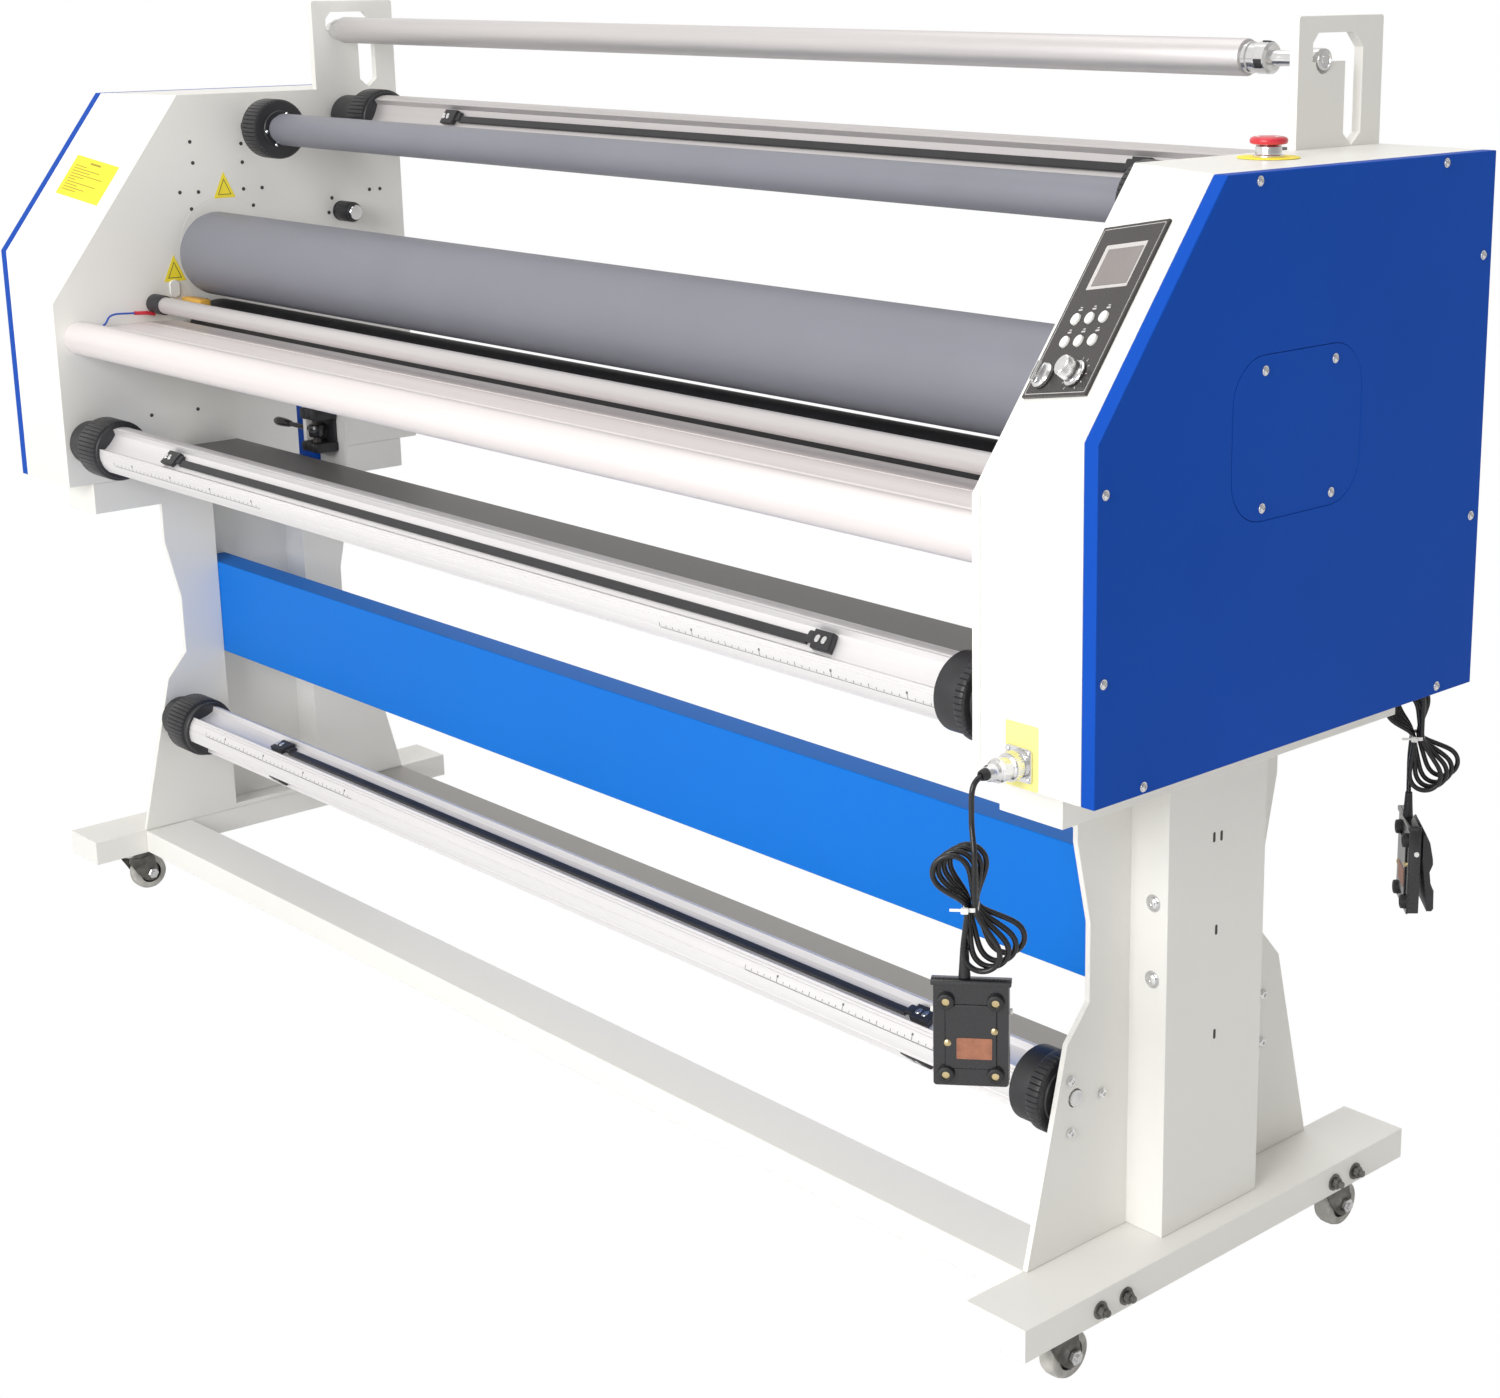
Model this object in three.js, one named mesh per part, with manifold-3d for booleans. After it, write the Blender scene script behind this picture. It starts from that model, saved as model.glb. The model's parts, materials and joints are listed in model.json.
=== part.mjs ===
// Cold roll laminator for wide print media: two cabinets on a castered frame, with the pressure
// rollers, a feed table and four media shafts between them.
// Millimetres, +Z up. X runs along the rollers, -Y is the operator's side, and the origin is on the
// floor under the middle of the frame.
import * as THREE from 'three';
import { ConvexGeometry } from 'three/addons/geometries/ConvexGeometry.js';
import { mergeVertices } from 'three/addons/utils/BufferGeometryUtils.js';
import Module from 'manifold-3d';

const wasm = await Module();
wasm.setup();

// ---------------------------------------------------------------- driving dimensions
const GAP = 0.3; // clearance between pieces that touch
const INNER = 850; // half the distance between the side plates
const PLATE_T = 10; // side plate thickness
const SHELL_OUT = 975.7; // outer end of the white cabinet shells
const COVER_OUT = 991; // outer face of the blue covers
const SHEET = 2.5; // sheet thickness of shells and covers

const CAB_FRONT = -270;
const CAB_BACK = 264;
const CAB_BOTTOM = 594;
const CAB_TOP = 1098;
// The sloped front face leans inwards: it is lower at the side plate than at the cover.
const SLOPE_OUTER = { topY: -118, bottomZ: 897.5 };
const SLOPE_RUN_PER_RISE = (SLOPE_OUTER.topY - CAB_FRONT) / (CAB_TOP - SLOPE_OUTER.bottomZ);
const SLOPE_INNER = { bottomZ: 838 };
SLOPE_INNER.topY = CAB_FRONT + (CAB_TOP - SLOPE_INNER.bottomZ) * SLOPE_RUN_PER_RISE;

const EAR = { front: 137, back: CAB_BACK, top: 1217 };
const TOP_TUBE = { y: 174, z: 1178, r: 17.5, left: -826, right: 772, ring: 10.5 };
const EAR_SLOT = { top: 1202, bottom: 1099, corner: 1110, dropFront: 33, dropBack: 59.5 };
const SUPPLY = { y: 31, z: 1052, r: 21 };
const REAR = { y: 182, z: 1060, r: 32 };
const TAKE_UP = { y: -238, z: 652, r: 32 };
const BOTTOM = { y: -143, z: 251, r: 32 };
const HUB_R = 40;
const JOURNAL_R = 8;
const JOURNAL_HOLE_R = 9;

const MAIN = { y: -43, z: 888, r: 55.6, half: 828, journal: 15, lift: 24 };
const LOWER = { y: -43, r: 50, half: 836, journal: 14 };
const NIP_GAP = 6.5;
LOWER.z = MAIN.z - MAIN.r - NIP_GAP - LOWER.r;
const BLOCK = { half: 39.5, bottom: 849, top: 927, in: PLATE_T + 0.6, out: 34 };
const JOURNAL_SLOT = { half: 19, bottom: 865 };
const IDLER = { y: -129, z: 826, r: 11, sleeve: 13, journal: 4.5 };

const FOOT = { in: 851, out: 925, half: 280, bottom: 65, top: 97 };
const LEG = { plateT: 6, postOut: 901, postHalf: 70, wall: 3, top: 553, footHalf: 206, headHalf: 143 };
LEG.waist = [[154, 307], [125, 340], [125, 418], [143, 500]];
const HEAD = { half: 237, top: CAB_BOTTOM - GAP };
const BEAM = { front: -66.7, back: -30, bottom: 330, top: 459 };
const SILL = { outer: 206, inner: 138, bottom: 66, top: 96.5 };
const TIE = { front: -105, back: -22, bottom: 578, top: 628 };
const TABLE = { front: -259, groove: -202, back: -104, top: 802, noseTop: 812, noseBottom: 769 };

const CASTER = { x: 888, y: 205, wheelR: 24.5, wheelHalf: 10, trail: 14, crownR: 22, crownZ: 52, top: 62 };
const CHEEK = { t: 3, clear: 1, topHalf: 16, footHalf: 8, footZ: 16 };
const PANEL = { across: -74.3, up: 126.6, width: 94, height: 167, thick: 3 };
const BUTTON = { r: 5.6, hole: 6.1, cols: [-21.2, -0.7, 19.8], rows: [-9, -31] };
const SCREEN = { x0: -29.5, x1: 30.5, y0: 20, y1: 64.5, deep: 1.5 };
const SPEED_KNOB_AT = [19.3, -63.4];
const SELECTOR_AT = [-27.3, -64];
const EMERGENCY_STOP_AT = [899.5, 48];
const TENSION_KNOB_AT = [160, 930];
const DRIVE = { y: 118, z: 716, sprocketR: 20, rollerSprocketR: 30, in: 866, out: 871 };
const HATCH = { y: -16, z: 875, halfY: 88, halfZ: 71, r: 40, thick: 1.8 };
const CLAMP = { x: -669, y: -2, z: 660, barX: -752, screwR: 6, wallY: 16, wallT: 6, bottom: 585, top: 724 };

const CORD = { r: 2.5, bend: 11 };
const CONNECTOR = { z: 616, reach: 42 };
const FRONT_CORD = { x: 907, side: -1, face: CAB_FRONT, hankYaw: 42, pedalYaw: 40, hankTop: 560, pedalTop: 442 };
const BACK_CORD = { x: 893, side: 1, face: CAB_BACK, hankYaw: 45, pedalYaw: -45, hankTop: 560, pedalTop: 420 };
const HANK = { depth: 26.6, tie: -54, fan: 61, tieHalf: 8 };
const PEDAL = { width: 64, height: 96, pan: 13, pivot: 30 };

// ---------------------------------------------------------------- materials
function paint(color, roughness, metalness = 0) {
  return new THREE.MeshStandardMaterial({ color, roughness, metalness });
}
const white = paint(0xe9e7e0, 0.45);
const blue = paint(0x1b4aa3, 0.4);
const beamBlue = paint(0x2380dd, 0.4);
const steel = paint(0xb9bbbd, 0.3, 0.9);
const darkSteel = paint(0x4a4b4c, 0.45, 0.7);
const aluminium = paint(0xc9cacc, 0.35, 0.8);
const silicone = paint(0x83858f, 0.6);
const rubber = paint(0x1c1c1e, 0.7);
const black = paint(0x202124, 0.45);
const ivory = paint(0xf1f0ec, 0.4);
const red = paint(0xd3222c, 0.35);
const yellow = paint(0xf0cf2a, 0.5);

// ---------------------------------------------------------------- geometry helpers
function box(x0, x1, y0, y1, z0, z1) {
  const geometry = new THREE.BoxGeometry(x1 - x0, y1 - y0, z1 - z0);
  return geometry.translate((x0 + x1) / 2, (y0 + y1) / 2, (z0 + z1) / 2);
}

function cylinderX(r, x0, x1, y, z, sides = 16) {
  const geometry = new THREE.CylinderGeometry(r, r, x1 - x0, sides);
  return geometry.rotateZ(-Math.PI / 2).translate((x0 + x1) / 2, y, z);
}

function cylinderZ(r, z0, z1, x = 0, y = 0, sides = 16) {
  const geometry = new THREE.CylinderGeometry(r, r, z1 - z0, sides);
  return geometry.rotateX(Math.PI / 2).translate(x, y, (z0 + z1) / 2);
}

// A turned piece: profile points are [radius, distance along the axis].
function turned(profile, sides = 20) {
  return new THREE.LatheGeometry(profile.map(([r, a]) => new THREE.Vector2(r, a)), sides);
}

function turnedX(profile, sides = 20) {
  return turned(profile, sides).rotateZ(-Math.PI / 2);
}

function turnedZ(profile, sides = 18) {
  return turned(profile, sides).rotateX(Math.PI / 2);
}

// A sheet or bar whose outline lies in the YZ plane, from x0 to x1.
function plateX(shape, x0, x1, curveSegments = 8) {
  const geometry = new THREE.ExtrudeGeometry(shape, { depth: x1 - x0, bevelEnabled: false, curveSegments });
  const axes = new THREE.Matrix4().makeBasis(
    new THREE.Vector3(0, 1, 0),
    new THREE.Vector3(0, 0, 1),
    new THREE.Vector3(1, 0, 0),
  );
  return geometry.applyMatrix4(axes).translate(x0, 0, 0);
}

function polygon(points) {
  return new THREE.Shape(points.map(([a, b]) => new THREE.Vector2(a, b)));
}

function roundedRect(a0, a1, b0, b1, r) {
  const shape = new THREE.Shape();
  shape.moveTo(a0 + r, b0);
  shape.lineTo(a1 - r, b0);
  shape.absarc(a1 - r, b0 + r, r, -Math.PI / 2, 0);
  shape.lineTo(a1, b1 - r);
  shape.absarc(a1 - r, b1 - r, r, 0, Math.PI / 2);
  shape.lineTo(a0 + r, b1);
  shape.absarc(a0 + r, b1 - r, r, Math.PI / 2, Math.PI);
  shape.lineTo(a0, b0 + r);
  shape.absarc(a0 + r, b0 + r, r, Math.PI, Math.PI * 1.5);
  return shape;
}

function hull(rings) {
  const points = rings.flatMap(({ x, ring }) => ring.map(([y, z]) => new THREE.Vector3(x, y, z)));
  return new ConvexGeometry(points);
}

// ---------------------------------------------------------------- booleans
function toSolid(geometry) {
  const bare = geometry.index ? geometry.toNonIndexed() : geometry.clone();
  bare.deleteAttribute('normal');
  bare.deleteAttribute('uv');
  const merged = mergeVertices(bare, 1e-4);
  const index = merged.index.array;
  const kept = [];
  for (let i = 0; i < index.length; i += 3) {
    const [a, b, c] = [index[i], index[i + 1], index[i + 2]];
    if (a !== b && b !== c && c !== a) {
      kept.push(a, b, c);
    }
  }
  const mesh = new wasm.Mesh({
    numProp: 3,
    vertProperties: new Float32Array(merged.attributes.position.array),
    triVerts: new Uint32Array(kept),
  });
  return new wasm.Manifold(mesh);
}

function fromSolid(solid) {
  const mesh = solid.getMesh();
  const geometry = new THREE.BufferGeometry();
  geometry.setAttribute('position', new THREE.BufferAttribute(new Float32Array(mesh.vertProperties), 3));
  geometry.setIndex(new THREE.BufferAttribute(new Uint32Array(mesh.triVerts), 1));
  geometry.computeVertexNormals();
  return geometry;
}

function joinAndCut(joined, cuts = []) {
  let solid = toSolid(joined[0]);
  for (const piece of joined.slice(1)) {
    solid = solid.add(toSolid(piece));
  }
  for (const piece of cuts) {
    solid = solid.subtract(toSolid(piece));
  }
  return fromSolid(solid);
}

// The same piece on the other side of the machine.
function mirroredX(geometry) {
  const copy = geometry.index ? geometry.toNonIndexed() : geometry.clone();
  copy.applyMatrix4(new THREE.Matrix4().makeScale(-1, 1, 1));
  for (const name of ['normal', 'uv']) {
    copy.deleteAttribute(name);
  }
  const p = copy.attributes.position;
  for (let i = 0; i < p.count; i += 3) {
    const second = new THREE.Vector3().fromBufferAttribute(p, i + 1);
    const third = new THREE.Vector3().fromBufferAttribute(p, i + 2);
    p.setXYZ(i + 1, ...third);
    p.setXYZ(i + 2, ...second);
  }
  copy.computeVertexNormals();
  return copy;
}

// ---------------------------------------------------------------- scene graph
const laminator = new THREE.Group();

function add(name, geometry, material, parent = laminator) {
  const mesh = new THREE.Mesh(geometry, material);
  mesh.name = name;
  parent.add(mesh);
  return mesh;
}

function addPair(name, geometry, material) {
  add(`${name}_right`, geometry, material);
  add(`${name}_left`, mirroredX(geometry), material);
}

// ---------------------------------------------------------------- frame
function makeFoot() {
  const { in: x0, out: x1, half, bottom, top } = FOOT;
  const tube = box(x0, x1, -half, half, bottom, top);
  const bore = box(x0 + 3, x1 - 3, -half + 3, half - 3, bottom + 3, top - 3);
  const drains = [-120, 120].map((y) => cylinderZ(6, bottom - 5, bottom + 8, (x0 + x1) / 2, y, 12));
  return joinAndCut([tube], [bore, ...drains]);
}

// Leg weldment: gusseted inner plate with a window, channel post outside it, box beam on top.
function makeLeg() {
  const floor = FOOT.top + GAP;
  const side = [[LEG.footHalf, floor], ...LEG.waist, [LEG.headHalf, LEG.top]];
  const outline = [...side, ...side.toReversed().map(([y, z]) => [-y, z])];
  const plate = plateX(polygon(outline), INNER, INNER + LEG.plateT);
  const { postHalf: w, postOut: x1, wall } = LEG;
  const x0 = INNER + LEG.plateT - 1;
  const post = box(x0, x1, -w, w, floor, LEG.top + 1);
  const head = box(INNER, FOOT.out, -HEAD.half, HEAD.half, LEG.top, HEAD.top);
  const cuts = [
    box(INNER - 1, x0 + 2, -w + wall, w - wall, floor + 6, LEG.top - 6),
    box(x0 - 1, x1 - wall, -w + wall, w - wall, floor - 1, LEG.top + 4),
    box(INNER + 3, FOOT.out - 3, -HEAD.half + 3, HEAD.half - 3, LEG.top + 3, HEAD.top - 3),
    cylinderX(JOURNAL_HOLE_R, INNER - 1, x0 + 3, BOTTOM.y, BOTTOM.z),
  ];
  return joinAndCut([plate, post, head], cuts);
}

function makeTube(x, y0, y1, z0, z1, wall) {
  const outer = box(-x, x, y0, y1, z0, z1);
  const bore = box(-x - 1, x + 1, y0 + wall, y1 - wall, z0 + wall, z1 - wall);
  return joinAndCut([outer], [bore]);
}

// ---------------------------------------------------------------- cabinets
// Cabinet outline at a given x; the slope's two creases move steadily from side plate to cover.
function cabinetOutline(x, inset = 0) {
  const t = (x - INNER) / (SHELL_OUT - INNER);
  const topY = THREE.MathUtils.lerp(SLOPE_INNER.topY, SLOPE_OUTER.topY, t);
  const bottomZ = THREE.MathUtils.lerp(SLOPE_INNER.bottomZ, SLOPE_OUTER.bottomZ, t);
  const run = topY - CAB_FRONT;
  const rise = CAB_TOP - bottomZ;
  const lean = Math.hypot(run, rise);
  return [
    [CAB_FRONT + inset, CAB_BOTTOM + inset],
    [CAB_BACK - inset, CAB_BOTTOM + inset],
    [CAB_BACK - inset, CAB_TOP - inset],
    [topY + inset * (lean - run) / rise, CAB_TOP - inset],
    [CAB_FRONT + inset, bottomZ - inset * (lean - rise) / run],
  ];
}

function cabinetBlock(x0, x1, inset = 0) {
  return hull([x0, x1].map((x) => ({ x, ring: cabinetOutline(x, inset) })));
}

// Slot of the top tube: a pocket in front, a way over, and a long drop behind.
function earSlotOutline() {
  const { y, z, ring } = TOP_TUBE;
  const pocket = ring + 0.5;
  const floorZ = z - 2;
  const front = y - pocket - 5;
  const dropFront = y + EAR_SLOT.dropFront;
  const dropBack = y + EAR_SLOT.dropBack;
  const { top, bottom, corner } = EAR_SLOT;
  const shape = new THREE.Shape();
  shape.moveTo(front, floorZ);
  shape.lineTo(y - pocket, floorZ);
  shape.absarc(y, floorZ, pocket, Math.PI, Math.PI * 2);
  shape.lineTo(dropFront, floorZ);
  shape.lineTo(dropFront, corner);
  shape.lineTo(dropFront + 13, bottom);
  shape.lineTo(dropBack, corner);
  shape.lineTo(dropBack, top - 14);
  shape.lineTo(dropBack - 14, top);
  shape.lineTo(front + 8, top);
  shape.lineTo(front, top - 9);
  return shape;
}

function makeSidePlate() {
  const x0 = INNER;
  const x1 = INNER + PLATE_T;
  const ear = plateX(roundedRect(EAR.front, EAR.back, CAB_TOP - 60, EAR.top, 3), x0, x1, 2);
  const holes = [SUPPLY, REAR, TAKE_UP].map(({ y, z }) => cylinderX(JOURNAL_HOLE_R, x0 - 1, x1 + 1, y, z));
  holes.push(cylinderX(LOWER.journal + 1, x0 - 1, x1 + 1, LOWER.y, LOWER.z));
  holes.push(cylinderX(IDLER.journal + 1, x0 - 1, x1 + 1, IDLER.y, IDLER.z, 12));
  const { half, bottom } = JOURNAL_SLOT;
  const archZ = MAIN.z + MAIN.lift;
  holes.push(box(x0 - 1, x1 + 1, MAIN.y - half, MAIN.y + half, bottom, archZ));
  holes.push(cylinderX(half, x0 - 1, x1 + 1, MAIN.y, archZ, 24));
  holes.push(plateX(earSlotOutline(), x0 - 1, x1 + 1, 6));
  return joinAndCut([cabinetBlock(x0, x1), ear], holes);
}

function makeShell(withPanelOpening) {
  const x0 = INNER + PLATE_T + GAP;
  const outer = cabinetBlock(x0, SHELL_OUT);
  const cuts = [cabinetBlock(x0 - 5, SHELL_OUT + 5, SHEET)];
  if (withPanelOpening) {
    const opening = box(-PANEL.width / 2 + 6, PANEL.width / 2 - 6, -PANEL.height / 2 + 6,
      PANEL.height / 2 - 6, -12, 6);
    cuts.push(opening.applyMatrix4(panelMatrix()));
  }
  return joinAndCut([outer], cuts);
}

function hatchOutline(grow) {
  const { y, z, halfY, halfZ, r } = HATCH;
  return roundedRect(y - halfY - grow, y + halfY + grow, z - halfZ - grow, z + halfZ + grow, r + grow);
}

function makeCover(withHatch) {
  const x0 = SHELL_OUT + GAP;
  const tray = plateX(polygon(cabinetOutline(SHELL_OUT)), x0, COVER_OUT);
  const inside = plateX(polygon(cabinetOutline(SHELL_OUT, SHEET)), x0 - 1, COVER_OUT - 4);
  const cuts = [inside];
  if (withHatch) {
    cuts.push(plateX(hatchOutline(GAP), COVER_OUT - HATCH.thick - GAP, COVER_OUT + 1, 5));
  }
  return joinAndCut([tray], cuts);
}

function makeHatch() {
  return plateX(hatchOutline(0), COVER_OUT - HATCH.thick, COVER_OUT, 5);
}

// ---------------------------------------------------------------- table
function makeTable() {
  const { front, groove, back, top, noseTop, noseBottom } = TABLE;
  const r = (noseTop - noseBottom) / 2;
  const shape = new THREE.Shape();
  shape.moveTo(back, top - 6);
  shape.lineTo(back, top);
  shape.lineTo(groove + 3, top);
  shape.lineTo(groove, top - 4);
  shape.lineTo(groove - 3, top + 1);
  shape.lineTo(groove - 20, top + 7);
  shape.lineTo(front + r + 6, noseTop);
  shape.absarc(front + r, noseTop - r, r, Math.PI / 2, Math.PI * 1.5);
  shape.lineTo(groove - 14, noseBottom);
  shape.lineTo(groove - 14, noseBottom + 4);
  shape.lineTo(groove - 5, top - 12);
  shape.lineTo(groove + 4, top - 6);
  const hollow = new THREE.Path();
  hollow.moveTo(groove - 22, top - 4);
  hollow.lineTo(front + r + 4, noseTop - 5);
  hollow.absarc(front + r, noseTop - r, r - 5, Math.PI / 2, Math.PI * 1.5);
  hollow.lineTo(groove - 22, noseBottom + 5);
  shape.holes.push(hollow);
  return plateX(shape, -INNER + GAP, INNER - GAP, 6);
}

// ---------------------------------------------------------------- rollers and shafts
// A media shaft: journals in the side plates, ribbed hubs at both ends and a profiled barrel.
function makeShaft(r, leftHub, rightHub) {
  const end = INNER + PLATE_T - 2;
  const hubEnd = INNER - 4;
  return turnedX([
    [0, -end],
    [JOURNAL_R, -end],
    [JOURNAL_R, -hubEnd],
    [HUB_R - 4, -hubEnd],
    [HUB_R, -hubEnd + 6],
    [HUB_R, -hubEnd + leftHub - 8],
    [r + 2, -hubEnd + leftHub],
    [r, -hubEnd + leftHub],
    [r, hubEnd - rightHub],
    [r + 2, hubEnd - rightHub],
    [HUB_R, hubEnd - rightHub + 8],
    [HUB_R, hubEnd - 6],
    [HUB_R - 4, hubEnd],
    [JOURNAL_R, hubEnd],
    [JOURNAL_R, end],
    [0, end],
  ]);
}

function makeMainRoller() {
  const { r, half, journal } = MAIN;
  const end = INNER + 32;
  return turnedX([
    [0, -end],
    [journal, -end],
    [journal, -half],
    [r - 3, -half],
    [r, -half + 3],
    [r, half - 3],
    [r - 3, half],
    [journal, half],
    [journal, end],
    [0, end],
  ], 28);
}

function makeLowerRoller() {
  const { r, half, journal } = LOWER;
  const { in: s0, out: s1, rollerSprocketR } = DRIVE;
  return turnedX([
    [0, -INNER - PLATE_T + 1],
    [journal, -INNER - PLATE_T + 1],
    [journal, -half],
    [r, -half],
    [r, half],
    [journal, half],
    [journal, s0 - 3],
    [journal + 6, s0 - 3],
    [rollerSprocketR, s0],
    [rollerSprocketR, s1],
    [journal, s1 + 3],
    [0, s1 + 3],
  ], 24);
}

function makeIdler() {
  const { r, sleeve, journal } = IDLER;
  const end = INNER + PLATE_T - 2;
  return turnedX([
    [0, -end],
    [journal, -end],
    [journal, -INNER + 2],
    [sleeve, -INNER + 2],
    [sleeve, -INNER + 33],
    [r, -INNER + 33],
    [r, INNER - 33],
    [sleeve, INNER - 33],
    [sleeve, INNER - 2],
    [journal, INNER - 2],
    [journal, end],
    [0, end],
  ], 14);
}

function makeTopTube() {
  const { r, left, right, ring } = TOP_TUBE;
  const out = INNER + PLATE_T + 12;
  const plug = 15;
  return turnedX([
    [0, -out],
    [ring, -out],
    [ring, -INNER + 2],
    [plug, -INNER + 4],
    [plug, left],
    [r, left],
    [r, right],
    [plug, right],
    [plug, right + 30],
    [7, right + 32],
    [7, INNER - 6],
    [ring, INNER - 4],
    [ring, out],
    [0, out],
  ]);
}

// Bearing block of the upper roller: it rides up and down on the outer face of the side plate.
function makeBearingBlock() {
  const { half, bottom, top, in: x0, out: x1 } = BLOCK;
  const body = box(INNER + x0, INNER + x1, MAIN.y - half, MAIN.y + half, bottom, top);
  const bore = cylinderX(MAIN.journal + 0.4, INNER + x0 - 1, INNER + x1 + 1, MAIN.y, MAIN.z, 20);
  return joinAndCut([body], [bore]);
}

// ---------------------------------------------------------------- control panel
// Frame of the sloped face: x across it, y up the slope, z out of it.
function panelMatrix() {
  const outerBottom = new THREE.Vector3(SHELL_OUT, CAB_FRONT, SLOPE_OUTER.bottomZ);
  const outerTop = new THREE.Vector3(SHELL_OUT, SLOPE_OUTER.topY, CAB_TOP);
  const innerBottom = new THREE.Vector3(INNER, CAB_FRONT, SLOPE_INNER.bottomZ);
  const up = outerTop.clone().sub(outerBottom).normalize();
  const out = outerBottom.clone().sub(innerBottom).cross(up).normalize();
  const across = up.clone().cross(out);
  const centre = outerBottom.clone().addScaledVector(up, PANEL.up).addScaledVector(across, PANEL.across);
  return new THREE.Matrix4().makeBasis(across, up, out).setPosition(centre);
}

function addPanel() {
  const group = new THREE.Group();
  group.applyMatrix4(panelMatrix());
  laminator.add(group);
  const { width: w, height: h, thick } = PANEL;
  const base = box(-w / 2, w / 2, -h / 2, h / 2, GAP, thick);
  const back = box(-w / 2 + 9, w / 2 - 8, -h / 2 + 8, h / 2 - 8, -8, GAP + 1);
  const cuts = [
    box(SCREEN.x0, SCREEN.x1, SCREEN.y0, SCREEN.y1, thick - SCREEN.deep, thick + 1),
    cylinderZ(3.4, -9, thick + 1, ...SPEED_KNOB_AT, 16),
    cylinderZ(3.4, -9, thick + 1, ...SELECTOR_AT, 16),
  ];
  const spots = BUTTON.rows.flatMap((y) => BUTTON.cols.map((x) => [x, y]));
  for (const [x, y] of spots) {
    cuts.push(cylinderZ(BUTTON.hole, -5, thick + 1, x, y, 14));
  }
  add('control_panel', joinAndCut([base, back], cuts), black, group);
  spots.forEach(([x, y], i) => {
    const cap = turnedZ([[0, -3], [BUTTON.r, -3], [BUTTON.r, 4.4], [BUTTON.r - 1, 5], [0, 5]], 14);
    const button = add(`panel_button_${i + 1}`, cap, ivory, group);
    button.position.set(x, y, 0);
  });
  const speed = turnedZ([
    [0, -8], [3, -8], [3, 3.6], [11, 3.6], [11, 6], [9.4, 7], [8.8, 19], [7.8, 20], [0, 20],
  ]);
  add('speed_knob', speed, steel, group).position.set(...SPEED_KNOB_AT, 0);
  const stem = turnedZ([[0, -8], [3, -8], [3, 3.6], [11, 3.6], [11, 7], [9.5, 8.5], [0, 8.5]]);
  const bar = box(-2.6, 2.6, -9, 9, 8, 15);
  add('selector_switch', joinAndCut([stem, bar]), steel, group).position.set(...SELECTOR_AT, 0);
}

function addEmergencyStop() {
  const group = new THREE.Group();
  group.position.set(...EMERGENCY_STOP_AT, CAB_TOP);
  laminator.add(group);
  const collar = turnedZ([[8, GAP], [28, GAP], [28, 1.3], [12, 1.3], [11.8, 11.2], [8, 11.2], [8, GAP]]);
  add('emergency_stop_collar', collar, yellow, group);
  const cap = turnedZ([
    [0, 5], [7.5, 5], [7.5, 15.6], [12.7, 15.6], [12.7, 12], [14, 12], [17, 13.5], [17, 16.5],
    [14.5, 18.6], [0, 19.4],
  ]);
  add('emergency_stop_button', cap, red, group);
}

// ---------------------------------------------------------------- drive
function makeGearMotor() {
  const { y, z, out } = DRIVE;
  const gearbox = box(out + 8, out + 46, y - 42, y + 42, z - 42, z + 42);
  const motor = cylinderX(36, out + 45, SHELL_OUT - 6, y, z, 20);
  const flange = box(INNER + PLATE_T + GAP, out + 12, y - 42, y + 42, z - 58, z - 40);
  const bore = cylinderX(7.5, out + 5, out + 30, y, z);
  return joinAndCut([gearbox, motor, flange], [bore]);
}

function makeMotorSprocket() {
  const { in: s0, out: s1, sprocketR } = DRIVE;
  return turnedX([
    [0, s0 - 3], [12, s0 - 3], [sprocketR, s0], [sprocketR, s1], [7, s1 + 3], [7, s1 + 25], [0, s1 + 25],
  ]);
}

// ---------------------------------------------------------------- small fittings
function makeTensionKnob() {
  return turnedX([[0, GAP], [9, GAP], [9, 5], [13, 5], [14, 8], [14, 44], [13, 48], [0, 48]]);
}

// Bracket behind the tie beam, with the slotted clamp block that holds the lever's screw.

function makeClampBracket() {
  const { x, y, z, barX, screwR, wallY, wallT, bottom, top } = CLAMP;
  const back = wallY + wallT;
  const seam = -699;
  const wallEnd = x + 33;
  const bar = box(barX, seam, wallY, back, bottom, top);
  const wall = box(seam - 1, wallEnd, wallY, back, bottom, top);
  const foot = box(barX, wallEnd, TIE.back + GAP, back, bottom, bottom + 6);
  const jaw = box(x - 21, x + 21, y - 14, wallY + 1, z - 28, z + 30);
  const slot = box(x - 22, x + 22, y - 15, y + 13, z - 15, z + 15);
  const bore = cylinderZ(screwR + 0.4, z - 40, z + 40, x, y);
  return joinAndCut([bar, wall, foot, jaw], [slot, bore]);
}

function makeClampLever() {
  const screw = cylinderZ(CLAMP.screwR, -28, 34);
  const head = cylinderZ(11, -8, 8);
  const rod = new THREE.CylinderGeometry(3.4, 3.4, 78, 10).rotateZ(Math.PI / 2).translate(-39, 0, 0);
  const grip = new THREE.CapsuleGeometry(6, 26, 3, 10).rotateZ(Math.PI / 2).translate(-88, 0, 0);
  return joinAndCut([screw, head, rod, grip]);
}

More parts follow.
